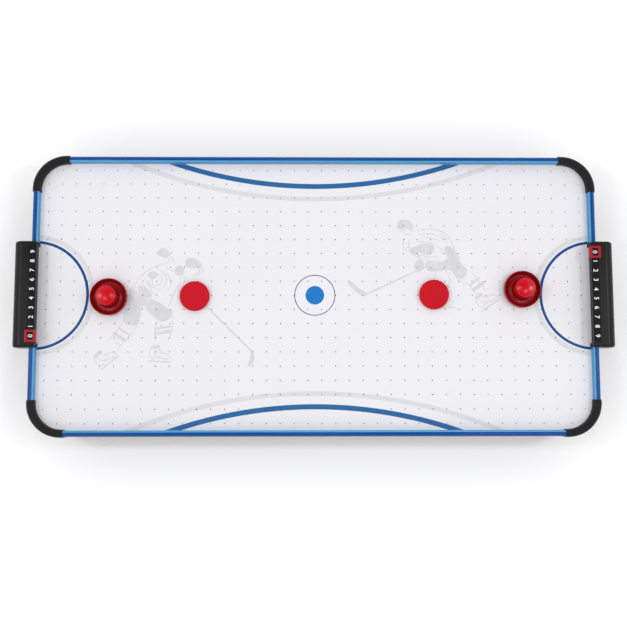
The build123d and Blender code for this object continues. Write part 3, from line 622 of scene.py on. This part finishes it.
@dataclass
class FieldPrints:
    """Lines, spots and player silhouettes printed on the field, each a thin film pierced by the air holes."""

    film: float = 0.05
    lift: float = 0.01
    pitch: tuple[float, float] = (25.0, 25.75)
    count: tuple[int, int] = (40, 19)
    hole: float = 1.02
    margin: float = 0.2
    blue_arc: tuple[float, float, float] = (1000.0, 802.7, 793.5)
    grey_arc: tuple[float, float, float] = (1052.0, 878.0, 869.7)
    goal_middle: float = 510.0
    crease_line: tuple[float, float] = (95.0, 100.0)
    crease_band: tuple[float, float] = (102.6, 111.0)
    dot: float = 17.0
    centre_ring: tuple[float, float] = (35.9, 37.3)

    @property
    def reach(self) -> tuple[float, float]:
        """Half length and half width of the field between the rails, in millimetres."""
        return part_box("rail_right_back")[0].x / MM - self.margin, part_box("rail_back")[0].y / MM - self.margin

    def holes_near(self, outlines: Sequence[np.ndarray]) -> list[np.ndarray]:
        """Plans of the air holes that touch an outline's box, as rings of ten points in metres."""
        x = (np.arange(self.count[0]) - (self.count[0] - 1) / 2) * self.pitch[0] * MM
        y = (np.arange(self.count[1]) - (self.count[1] - 1) / 2) * self.pitch[1] * MM
        grid = np.stack(np.meshgrid(x, y), axis=-1).reshape(-1, 2)
        margin = 2 * MM
        near = np.zeros(len(grid), bool)
        for outline in outlines:
            near |= np.all((grid > outline.min(0) - margin) & (grid < outline.max(0) + margin), axis=1)
        ring = arc((0, 0), self.hole * MM, 0, 324, 10)
        return [ring + middle for middle in grid[near]]

    def print(self, name: str, outlines: Sequence[np.ndarray], look: Look, layer: int = 0) -> bpy.types.Object:
        """One printed film from plans in millimetres, on its layer of ink."""
        plans = [outline * MM for outline in outlines]
        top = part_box("playfield")[1].z
        low = top + (self.lift + layer * self.film) * MM
        points, faces = slab(plans, low, low + self.film * MM, self.holes_near(plans))
        return new_piece(name, points, faces, look)

    def side_band(self, side: int, middle: float, outer: float, inner: float) -> np.ndarray:
        """Band between two circles about a point beyond the long rail, cut off along the rail."""
        reach = self.reach[1]
        turn = [math.degrees(math.acos((middle - reach) / radius)) for radius in (inner, outer)]
        near = arc((0, middle), inner, 270 - turn[0], 270 + turn[0], 90)
        far = arc((0, middle), outer, 270 + turn[1], 270 - turn[1], 90)
        return np.vstack([near, far]) * (1, side)

    def crease(self, end: int, inner: float, outer: float) -> np.ndarray:
        """Band between two circles about the middle of a goal, cut off along the end rail."""
        middle = self.goal_middle
        turn = [math.degrees(math.acos((middle - self.reach[0]) / radius)) for radius in (inner, outer)]
        near = arc((middle, 0), inner, 180 - turn[0], 180 + turn[0], 60)
        far = arc((middle, 0), outer, 180 + turn[1], 180 - turn[1], 60)
        return np.vstack([near, far]) * (end, 1)

    def ring(self, inner: float, outer: float) -> list[np.ndarray]:
        """Ring about the field's middle as two half bands that share their ends."""
        return [
            np.vstack([arc((0, 0), outer, start, start + 180, 60), arc((0, 0), inner, start + 180, start, 60)])
            for start in (0, 180)
        ]

    def build(self) -> None:
        """Print everything on the field."""
        for side, word in ((1, "back"), (-1, "front")):
            self.print(f"print_side_blue_{word}", [self.side_band(side, *self.blue_arc)], Look.BLUE_INK)
            self.print(f"print_side_grey_{word}", [self.side_band(side, *self.grey_arc)], Look.GREY_INK)
        for end, word in ((1, "right"), (-1, "left")):
            self.print(f"print_crease_line_{word}", [self.crease(end, *self.crease_line)], Look.NAVY_INK)
            self.print(f"print_crease_band_{word}", [self.crease(end, *self.crease_band)], Look.GREY_INK)
        self.print("print_centre_dot", [arc((0, 0), self.dot, 0, 354, 60)], Look.SKY_INK)
        self.print("print_centre_ring", self.ring(*self.centre_ring), Look.DARK_INK)
        for figure in (Figure.left(), Figure.right()):
            self.print(f"print_player_{figure.side}_lines", figure.lines, Look.LINE_INK)
            self.print(f"print_player_{figure.side}_solids", figure.solids, Look.PALE_INK, layer=1)


def smooth_path(points: Sequence, closed: bool = False, count: int = 6) -> np.ndarray:
    """Curve through points: between two of them, the cubic whose ends point along their outer neighbours' chord.

    Args:
        points: Rows of x and y.
        closed: Whether the last point joins the first.
        count: Points on each span.

    Returns:
        Rows of x and y along the curve.
    """
    p = np.array(points, float)
    if closed:
        p = np.vstack([p[-1], p, p[:2]])
    else:
        p = np.vstack([2 * p[0] - p[1], p, 2 * p[-1] - p[-2]])
    t = np.linspace(0, 1, count, endpoint=False)[:, None, None]
    a, b, c, d = p[:-3], p[1:-2], p[2:-1], p[3:]
    spans = 0.5 * (2 * b + (c - a) * t + (2 * a - 5 * b + 4 * c - d) * t**2 + (3 * b - a - 3 * c + d) * t**3)
    curve = spans.transpose(1, 0, 2).reshape(-1, 2)
    return curve if closed else np.vstack([curve, p[-2]])


def stroke(points: Sequence, width: float = 1.5) -> np.ndarray:
    """Plan of a pen stroke along a smooth path: offset both ways along its normals, thinner towards both ends."""
    path = smooth_path(points)
    along = np.gradient(path, axis=0)
    across = np.stack([-along[:, 1], along[:, 0]], axis=-1) / np.linalg.norm(along, axis=1)[:, None]
    half = width / 2 * (0.45 + 0.55 * np.sin(np.linspace(0, np.pi, len(path))))[:, None]
    return np.vstack([path + across * half, (path - across * half)[::-1]])


def patch(points: Sequence) -> np.ndarray:
    """Plan of a shape with a smooth outline through its points."""
    return smooth_path(points, closed=True)


def skate(heel: Sequence, heading: float) -> list[np.ndarray]:
    """Boot's lines, laces and cuff, and the blade under it.

    Args:
        heel: Where the boot's heel stands, in millimetres.
        heading: Way the toe points, in degrees.

    Returns:
        Plans of thin lines and solid patches.
    """
    turn = math.radians(heading)
    spin = np.array([[math.cos(turn), math.sin(turn)], [-math.sin(turn), math.cos(turn)]])
    lines = [
        [(0, 0), (-3, 9), (0, 19), (3, 22)],
        [(3, 22), (12, 23), (15, 20), (17, 12), (29, 8), (35, 3), (34, 0)],
        [(-1, 0), (12, 1), (24, -0.5), (34, 0)],
        [(14, 19), (10, 17)], [(15.5, 15.5), (11, 13.5)], [(18, 12), (13.5, 9.5)], [(22, 10), (18, 7)],
        [(4, 15), (6, 8), (11, 4), (20, 3)],
        [(5, -0.5), (6, -4.5)], [(27, -1), (26, -4.5)],
    ]
    solids = [capsule((-3, -6), (36, -6), 1.2, 1.2), patch([(1, 17), (3, 21.5), (13, 22.5), (14.5, 18.5), (8, 16.5)])]
    return [stroke(np.array(line) @ spin + heel, 1.3) for line in lines] + [solid @ spin + heel for solid in solids]


@dataclass
class Figure:
    """Line drawing of a nameless skater with a stick: thin strokes and grey patches, in millimetres on the field."""

    side: str
    lines: list[np.ndarray]
    solids: list[np.ndarray]

    @classmethod
    def left(cls) -> "Figure":
        """Player on the left half, leaning into a shot towards the middle."""
        strokes = [
            [(-262, 60), (-282, 56), (-304, 46), (-320, 30), (-330, 12)],
            [(-243, 40), (-246, 22), (-256, 4), (-262, -14), (-268, -24)],
            [(-330, 12), (-318, 2), (-296, -8), (-268, -24)],
            [(-276, 55), (-262, 46), (-250, 44)],
            [(-318, 26), (-306, 12), (-290, 2)], [(-312, 34), (-298, 18), (-280, 8)], [(-304, 22), (-296, 8)],
            [(-300, 44), (-296, 34), (-300, 24)],
            [(-286, 47), (-274, 42), (-264, 32), (-262, 18), (-268, 8)],
            [(-280, 42), (-272, 35), (-270, 22), (-276, 14)],
            [(-296, 30), (-290, 38), (-280, 36), (-278, 26), (-286, 18), (-294, 20), (-296, 30)],
            [(-262, 60), (-270, 70), (-278, 66)], [(-254, 56), (-262, 70), (-272, 78)],
            [(-243, 40), (-232, 26), (-226, 10)], [(-252, 18), (-244, 4), (-236, -4)],
            [(-238, 22), (-246, 12)], [(-230, 14), (-240, 4)],
            [(-212, 62), (-206, 54), (-204, 44), (-210, 40)], [(-214, 46), (-206, 48)], [(-216, 42), (-208, 43)],
            [(-222, 36), (-212, 38), (-208, 41)],
            [(-344, -46), (-356, -62), (-374, -84)], [(-322, -56), (-336, -76), (-358, -98)],
            [(-286, -46), (-290, -66), (-288, -86)], [(-258, -40), (-258, -60), (-266, -84)],
            [(-278, -52), (-282, -64)], [(-350, -92), (-360, -86)],
            [(-338, -24), (-330, -34), (-318, -40)], [(-300, -20), (-290, -30), (-276, -34)],
            [(-312, -14), (-318, -30), (-322, -46)],
        ]
        solids = [
            patch([(-234, 66), (-222, 68), (-212, 62), (-208, 52), (-216, 50), (-226, 50), (-236, 54)]),
            patch([(-252, 52), (-244, 54), (-238, 48), (-240, 38), (-250, 36), (-255, 43)]),
            patch([(-286, 82), (-277, 87), (-268, 82), (-266, 74), (-273, 70), (-284, 73)]),
            patch([(-334, 14), (-322, 2), (-306, -6), (-314, -26), (-320, -52), (-336, -54), (-348, -44), (-340, -14)]),
            patch([
                (-306, -8), (-286, -12), (-268, -24), (-258, -30), (-262, -42), (-276, -48), (-292, -40), (-308, -22),
            ]),
            patch([(-303, 40), (-293, 44), (-286, 38), (-293, 30), (-303, 33)]),
            patch([(-320, 18), (-310, 14), (-296, 0), (-302, -4), (-318, 4)]),
            patch([(-232, 8), (-222, 8), (-216, 0), (-220, -10), (-230, -10), (-236, -2)]),
            capsule((-232, 14), (-114, -102), 1.1, 1.5),
            patch([(-117, -100), (-111, -102), (-110, -116), (-116, -129), (-121, -127), (-117, -114)]),
            capsule((-362, -70), (-344, -82), 3.2, 3.2), capsule((-354, -60), (-336, -72), 1.6, 1.6),
            capsule((-288, -70), (-264, -66), 3.2, 3.2), capsule((-288, -61), (-262, -57), 1.6, 1.6),
        ]
        solids += skate((-296, -114), -2) + skate((-386, -128), 38)
        return cls("left", [stroke(line) for line in strokes], solids)

    @classmethod
    def right(cls) -> "Figure":
        """Player on the right half, gliding with the stick held out."""
        strokes = [
            [(182, 118), (198, 122), (220, 122), (240, 114), (250, 100)],
            [(176, 106), (172, 92), (178, 78), (190, 68)],
            [(250, 100), (256, 86), (258, 74)],
            [(188, 112), (206, 114), (226, 110), (240, 102)], [(192, 106), (212, 106), (232, 100)],
            [(186, 100), (204, 98), (222, 96)], [(230, 116), (240, 106), (242, 92)],
            [(196, 84), (210, 80), (226, 82)], [(192, 76), (206, 70), (224, 72)], [(234, 88), (242, 80), (244, 68)],
            [(222, 92), (232, 84), (236, 74)], [(200, 66), (214, 62), (232, 64)],
            [(170, 108), (162, 98), (164, 86), (172, 80)], [(166, 96), (174, 94)], [(168, 88), (176, 88)],
            [(158, 118), (154, 128), (158, 138)], [(160, 116), (168, 112), (176, 114)], [(157, 124), (165, 122)],
            [(159, 120), (167, 118)],
            [(222, 46), (218, 30), (222, 12)], [(246, 44), (246, 24), (240, 4)],
            [(268, 32), (284, 16), (300, -2)], [(286, 44), (300, 26), (314, 8)], [(250, 46), (262, 30), (276, 18)],
            [(300, 14), (308, 20)], [(236, 56), (242, 40)], [(258, 68), (268, 56), (282, 44)],
        ]
        solids = [
            patch([(152, 132), (160, 140), (174, 138), (180, 128), (178, 118), (172, 122), (160, 122), (152, 124)]),
            patch([(188, 92), (204, 96), (218, 92), (216, 80), (204, 74), (192, 80)]),
            patch([
                (204, 62), (222, 60), (238, 64), (250, 72), (262, 66), (278, 46), (274, 34), (262, 32), (248, 46),
                (226, 44), (206, 46),
            ]),
            patch([(238, 88), (250, 90), (258, 80), (266, 68), (256, 62), (244, 70)]),
            patch([(184, 60), (194, 68), (200, 58), (196, 46), (186, 42), (182, 50)]),
            patch([(176, 86), (186, 90), (190, 80), (182, 74), (175, 78)]),
            capsule((206, 54), (92, 1), 1.3, 1.5),
            patch([(94, 4), (88, -2), (76, 6), (62, 20), (66, 25), (80, 13)]),
            capsule((290, 10), (308, 24), 3.0, 3.0), capsule((284, 18), (300, 32), 1.5, 1.5),
            capsule((220, 18), (244, 16), 3.0, 3.0),
            capsule((190, 74), (196, 60), 2.0, 2.0),
        ]
        solids += skate((218, -18), 4) + skate((304, -22), 34)
        return cls("right", [stroke(line) for line in strokes], solids)


# ------------------------------------------------------- strikers and pucks


@dataclass
class Striker:
    """Hand striker: thin rim round a bowl that runs up into a knob with a low dome."""

    side: str
    radius: float = 33.5
    rim_top: float = 13.0
    rim_thick: float = 2.4
    felt: float = 1.2
    floor: float = 4.2
    knob: float = 17.4
    top: float = 38.0
    dome: float = 2.4
    edge: float = 1.5
    turns: int = 128

    def profile(self) -> np.ndarray:
        """Radius and height from under the base, round the rim, down the bowl, up the knob and over its dome."""
        half = self.rim_thick / 2
        inner = self.radius - self.rim_thick
        rim_low = self.rim_top - half
        crown = self.top - self.dome
        flat = self.knob - self.edge
        sphere = (flat**2 + self.dome**2) / (2 * self.dome)
        r = np.linspace(flat, 0, 26)[1:]
        cap = np.stack([r, self.top - sphere + np.sqrt(sphere**2 - r**2)], axis=-1)
        return np.vstack([
            [(0, self.felt), (29.6, self.felt)],
            arc((29.8, self.felt + 1.0), 1.0, -90, -45, 4),
            [(33.0, 3.9)],
            arc((32.5, 4.6), 1.0, -30, 0, 3),
            arc((self.radius - half, rim_low), half, 0, 180, 16),
            bezier((inner, rim_low - 0.4), (inner - 0.9, 6.6), (28.2, self.floor), (25.2, self.floor), 16),
            bezier((24.4, self.floor), (19.6, self.floor), (18.1, 5.4), (self.knob + 0.15, 11.0), 14),
            [(self.knob, 20.0), (self.knob, crown - self.edge - 0.4)],
            arc((flat, crown - self.edge), self.edge, 0, 82, 8),
            cap,
        ])

    def build(self) -> bpy.types.Object:
        """Turn the profile about the striker's own axis and stand it on the field."""
        low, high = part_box(f"striker_{self.side}")
        centre = (low + high) / 2
        points, faces = lathe(self.profile() * MM, self.turns)
        points += (centre.x, centre.y, low.z - self.felt * MM)
        node = f"striker_{self.side}"
        piece = new_piece(f"striker_body_{self.side}", points, faces, Look.STRIKER, node, 50)
        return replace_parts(piece, node)


@dataclass
class Puck:
    """Flat puck: a raised rim with rounded edges round a shallow dish in each face."""

    side: str
    radius: float = 27.0
    thick: float = 6.0
    clear: float = 0.14
    dish: float = 0.6
    rim: float = 3.4
    turns: int = 128

    def profile(self) -> np.ndarray:
        """Radius and height from the middle of the lower dish round the edge to the middle of the upper one."""
        wall = self.radius - self.rim
        level = self.thick - self.dish
        upper = np.vstack([
            [(self.radius, self.thick / 2)],
            arc((self.radius - 0.9, self.thick - 0.9), 0.9, 0, 90, 8),
            arc((wall + 0.5, self.thick - 0.5), 0.5, 90, 150, 5),
            bezier((wall - 0.1, self.thick - 0.45), (wall - 0.4, level), (wall - 0.7, level), (wall - 1.1, level), 6),
            [(wall * 0.5, level), (0, level)],
        ])
        lower = upper[:0:-1] * (1, -1) + (0, self.thick + self.clear)
        return np.vstack([lower, upper])

    def build(self) -> bpy.types.Object:
        """Turn the profile and lay the puck on the field."""
        low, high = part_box(f"puck_{self.side}")
        centre = (low + high) / 2
        points, faces = lathe(self.profile() * MM, self.turns)
        points += (centre.x, centre.y, low.z)
        piece = new_piece(f"puck_disc_{self.side}", points, faces, Look.PUCK, f"puck_{self.side}", 60)
        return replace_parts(piece, f"puck_{self.side}")


# ------------------------------------------------------------------ scorers


@dataclass
class ScoreNumbers:
    """Numbers 0 to 9 printed along a scorer bar, their tops towards the end of the table."""

    side: str
    pitch: float = 16.85
    height: float = 8.0
    thick: float = 0.05

    def build(self) -> bpy.types.Object:
        """Turn each digit's lettering into a mesh, then turn and place it on the bar."""
        end = 1 if self.side == "right" else -1
        low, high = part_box(f"scorer_bar_{self.side}")
        middle, top = (low.x + high.x) / 2, high.z
        points, faces, total = [], [], 0
        for digit in range(10):
            flat, cells = self.digit(str(digit))
            along = end * (4.5 - digit) * self.pitch * MM
            turned = np.column_stack([end * flat[:, 1], -end * flat[:, 0], flat[:, 2]])
            points.append(turned + (middle, along, top))
            faces += [[number + total for number in cell] for cell in cells]
            total += len(flat)
        return new_piece(f"score_numbers_{self.side}", np.vstack(points), faces, Look.WHITE_INK)

    def digit(self, text: str) -> tuple[np.ndarray, list]:
        """Points and faces of one digit, centred on the origin, standing up by its ink's thickness."""
        curve = bpy.data.curves.new(f"digit_{text}", "FONT")
        curve.body, curve.size = text, 1.0
        curve.extrude, curve.offset = 0.01, 0.004
        holder = bpy.data.objects.new("digit", curve)
        bpy.context.scene.collection.objects.link(holder)
        bpy.context.view_layer.update()
        mesh = bpy.data.meshes.new_from_object(holder.evaluated_get(bpy.context.evaluated_depsgraph_get()))
        bpy.data.objects.remove(holder)
        found = np.zeros(len(mesh.vertices) * 3)
        mesh.vertices.foreach_get("co", found)
        found = found.reshape(-1, 3)
        low, high = found.min(0), found.max(0)
        scale = self.height * MM / (high[1] - low[1])
        raised = (found[:, 2] > 0) * self.thick * MM + 0.005 * MM
        found = (found - (low + high) / 2) * scale
        found[:, 2] = raised
        return found, [list(polygon.vertices) for polygon in mesh.polygons]


# ---------------------------------------------------- screws and small marks


@dataclass
class Screws:
    """Pan-head screws with a cross recess, one for each solid of a CAD group."""

    node: str
    radius: float = 3.0
    shank: float = 1.6
    crown: float = 0.35
    deep: float = 0.8
    arm: float = 1.75
    cut: float = 0.45
    slope: float = 0.25
    chamfer: float = 0.15
    point: float = 1.2
    cells: int = 14

    def solids(self) -> list[np.ndarray]:
        """The group's points, split where they stand more than 25 mm apart: each joins the first point near it."""
        mesh = frame["nodes"][self.node].data
        flat = np.zeros(len(mesh.vertices) * 3)
        mesh.vertices.foreach_get("co", flat)
        points = np.unique(np.round(flat.reshape(-1, 3), 5), axis=0)
        far = np.linalg.norm(points[:, None] - points[None], axis=-1)
        first = (far < 0.025).argmax(axis=1)
        return [points[first == number] for number in np.unique(first)]

    def head(self, height: float, length: float) -> tuple[np.ndarray, list]:
        """One screw in millimetres, its axis up and the top of its head at nought.

        The head is a square grid pressed into a disc: s becomes s times the root of 1 - t squared / 2, and t likewise.
        It domes as the square of the radius, and sinks by the recess where it lies within either arm of the cross.
        Rings carry its rim down the side, in to the shank and down to the point.

        Args:
            height: Height of the head.
            length: Length under the head.

        Returns:
            Points and faces.
        """
        side = np.linspace(-1, 1, self.cells + 1)
        s, t = np.meshgrid(side, side, indexing="ij")
        x = self.radius * s * np.sqrt(1 - t**2 / 2)
        y = self.radius * t * np.sqrt(1 - s**2 / 2)
        narrow, wide = np.minimum(abs(x), abs(y)), np.maximum(abs(x), abs(y))
        inside = np.clip((self.cut + self.slope - narrow) / self.slope, 0, 1) * np.clip((self.arm - wide) / 0.35, 0, 1)
        z = -self.crown * (x**2 + y**2) / self.radius**2 - self.deep * inside
        top = np.stack([x, y, z], axis=-1).reshape(-1, 3)
        n = self.cells
        ids = np.arange((n + 1) ** 2).reshape(n + 1, n + 1)
        faces = [*np.stack([ids[:-1, :-1], ids[1:, :-1], ids[1:, 1:], ids[:-1, 1:]], axis=-1).reshape(-1, 4)]
        rim = np.concatenate([ids[:-1, 0], ids[-1, :-1], ids[:0:-1, -1], ids[0, :0:-1]])
        way = top[rim, :2] / self.radius
        end = -height - length
        levels = (
            (self.radius, self.chamfer - height), (self.radius - self.chamfer, -height), (self.shank, -height),
            (self.shank, self.point + end), (self.shank * 0.4, end),
        )
        rings = [np.column_stack([way * radius, np.full(len(rim), level)]) for radius, level in levels]
        points = np.vstack([top, *rings, [[0, 0, end]]])
        rows = [rim, *(len(top) + np.arange(len(rim)) + i * len(rim) for i in range(len(levels)))]
        for upper, lower in zip(rows, rows[1:]):
            faces += [*np.stack([upper, lower, np.roll(lower, -1), np.roll(upper, -1)], axis=-1)]
        last, tip = rows[-1], len(points) - 1
        faces += [*np.stack([last, np.full(len(last), tip), np.roll(last, -1)], axis=-1)]
        return points, faces

    def build(self) -> bpy.types.Object:
        """Stand a screw on each solid's axis, its head where the solid is widest."""
        points, faces, total = [], [], 0
        for solid in self.solids():
            low, high = solid.min(0), solid.max(0)
            axis = int(np.argmax(high - low))
            middle = (low + high) / 2
            out = np.linalg.norm(np.delete(solid - middle, axis, axis=1), axis=1)
            headed = solid[out > 2.4 * MM][:, axis]
            facing = 1.0 if headed.mean() > middle[axis] else -1.0
            height = (headed.max() - headed.min()) / MM
            shape, cells = self.head(height, (high - low)[axis] / MM - height)
            across = np.delete(np.eye(3), axis, axis=0)
            turn = np.stack([across[0], facing * across[1], facing * np.eye(3)[axis]])
            if np.linalg.det(turn) < 0:
                turn = turn[[1, 0, 2]]
            middle[axis] = headed.max() if facing > 0 else headed.min()
            points.append(shape @ turn * MM + middle)
            faces += [cell + total for cell in cells]
            total += len(shape)
        piece = new_piece(f"{self.node}_crossed", np.vstack(points), faces, Look.STEEL)
        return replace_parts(piece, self.node)


@dataclass
class RockerMarks:
    """Bar and ring printed on the two halves of the power rocker."""

    lean: float = 10.0
    out: float = 4.2
    splay: float = 1.0
    half: float = 6.6

    def on_face(self, name: str, outline: np.ndarray, holes: Sequence[np.ndarray], upper: bool) -> bpy.types.Object:
        """Lay a flat mark on one half of the rocker.

        The face runs from the rocker's middle to its end, leaning out by the splay. The mark is drawn on that slope and
        turned with the rocker about its pivot.
        """
        points, faces = slab([outline * MM], 0.0, 0.04 * MM, [hole * MM for hole in holes])
        sign = 1 if upper else -1
        along = np.array([0, -self.splay, sign * self.half]) / math.hypot(self.splay, self.half)
        across = np.array([1.0, 0, 0])
        normal = np.cross(across, along)
        if normal[1] > 0:
            normal, across = -normal, -across
        start = np.array([0, -self.out, 0]) * MM + along * self.half / 2 * MM + normal * 0.02 * MM
        local = start + points @ np.stack([across, along, normal])
        turn = math.radians(self.lean)
        spin = np.array([[1, 0, 0], [0, math.cos(turn), -math.sin(turn)], [0, math.sin(turn), math.cos(turn)]])
        joint = next(j for j in frame["joints"] if j["name"] == "rocker_tilt")
        return new_piece(name, local @ spin.T + joint["pos_m"], faces, Look.WHITE_INK, "rocker")

    def build(self) -> None:
        """Print the bar above and the ring below."""
        bar = np.array([(-0.3, -1.4), (0.3, -1.4), (0.3, 1.4), (-0.3, 1.4)])
        self.on_face("rocker_mark_on", bar, [], True)
        self.on_face("rocker_mark_off", arc((0, 0), 1.5, 0, 345, 24), [arc((0, 0), 1.05, 0, 345, 24)], False)


# ------------------------------------------------------------------- studio


@dataclass
class Studio:
    """Pale floor, lamps over the ends and the camera high above the table.

    The sky dims from round_sky to overhead as a direction's height on the unit sphere passes through dims. Each lamp
    is its x, its y and its power.
    """

    eye: tuple[float, float, float] = (-20.7, -185.9, 1638.0)
    turn: tuple[float, float, float] = (5.62, -0.669, -0.064)
    lens: float = 49.22
    floor_half: float = 10.0
    overhead: float = 0.06
    round_sky: float = 1.29
    dims: tuple[float, float] = (0.72, 0.94)
    lamp_high: float = 1.75
    lamp_size: float = 0.3
    lamps: tuple[tuple[float, float, float], ...] = (
        (-1.43, 0.13, 6), (-0.74, -0.2, 2.2), (0.0, 0.13, 2.2), (0.74, -0.2, 2.2), (1.43, 0.13, 6),
    )

    def floor(self) -> None:
        """Level square of fine grid cells, a hair below the pads."""
        side = np.linspace(-self.floor_half, self.floor_half, 33)
        x, y = np.meshgrid(side, side)
        points = np.stack([x, y, np.full_like(x, -0.0002)], axis=-1).reshape(-1, 3)
        ids = np.arange(33 * 33).reshape(33, 33)
        faces = np.stack([ids[:-1, :-1], ids[:-1, 1:], ids[1:, 1:], ids[1:, :-1]], axis=-1).reshape(-1, 4)
        mesh = bpy.data.meshes.new("floor")
        mesh.from_pydata(points.tolist(), [], faces.tolist())
        mesh.materials.append(Look.FLOOR.material())
        floor = bpy.data.objects.new("floor", mesh)
        bpy.context.scene.collection.objects.link(floor)

    def lamp(self, name: str, place: Sequence[float], power: float, aim: Sequence[float]) -> None:
        """Soft round lamp at a place in metres, facing a point."""
        data = bpy.data.lights.new(name, "AREA")
        data.shape, data.size, data.energy = "DISK", self.lamp_size, power
        lamp = bpy.data.objects.new(name, data)
        bpy.context.scene.collection.objects.link(lamp)
        lamp.location = place
        away = lamp.location - type(lamp.location)(aim)
        lamp.rotation_mode = "QUATERNION"
        lamp.rotation_quaternion = away.to_track_quat("Z", "Y")

    def world(self) -> None:
        """Pale surroundings that darken overhead, where a studio has no lamps."""
        world = bpy.data.worlds.new("studio")
        world.use_nodes = True
        tree = world.node_tree
        ground = tree.nodes["Background"]
        way = tree.nodes.new("ShaderNodeTexCoord")
        split = tree.nodes.new("ShaderNodeSeparateXYZ")
        rise = tree.nodes.new("ShaderNodeMapRange")
        values = (*self.dims, self.round_sky, self.overhead)
        for name, value in zip(("From Min", "From Max", "To Min", "To Max"), values):
            rise.inputs[name].default_value = value
        rise.interpolation_type = "SMOOTHSTEP"
        tree.links.new(way.outputs["Generated"], split.inputs[0])
        tree.links.new(split.outputs["Z"], rise.inputs["Value"])
        tree.links.new(rise.outputs[0], ground.inputs["Strength"])
        ground.inputs["Color"].default_value = (1.0, 1.0, 1.0, 1.0)
        bpy.context.scene.world = world

    def camera(self) -> None:
        """Camera above the table, tipped a few degrees from straight down."""
        data = bpy.data.cameras.new("camera")
        data.lens, data.sensor_width = self.lens, 36.0
        camera = bpy.data.objects.new("camera", data)
        bpy.context.scene.collection.objects.link(camera)
        camera.location = np.array(self.eye) * MM
        camera.rotation_euler = np.radians(self.turn)
        bpy.context.scene.camera = camera

    def build(self) -> None:
        """Set the whole studio up."""
        self.floor()
        self.world()
        self.camera()
        for x, y, power in self.lamps:
            self.lamp(f"lamp_{x:+.2f}", (x, y, self.lamp_high), power, (x * 0.3, 0, 0))
        bpy.context.scene.view_settings.view_transform = "Standard"


def main() -> None:
    """Build the looks in order: finishes, prints, loose pieces, numbers and the studio."""
    logging.basicConfig(level=logging.INFO, format="%(message)s")
    dress_nodes()
    FieldPrints().build()
    for side in ("left", "right"):
        Striker(side).build()
        Puck(side).build()
        ScoreNumbers(side).build()
    for name in ("rail_screws", "panel_screws", "foot_screws", "grille_screws", "blower_screws", "tray_screws"):
        Screws(name).build()
    RockerMarks().build()
    Studio().build()


if __name__ == "__main__":
    main()
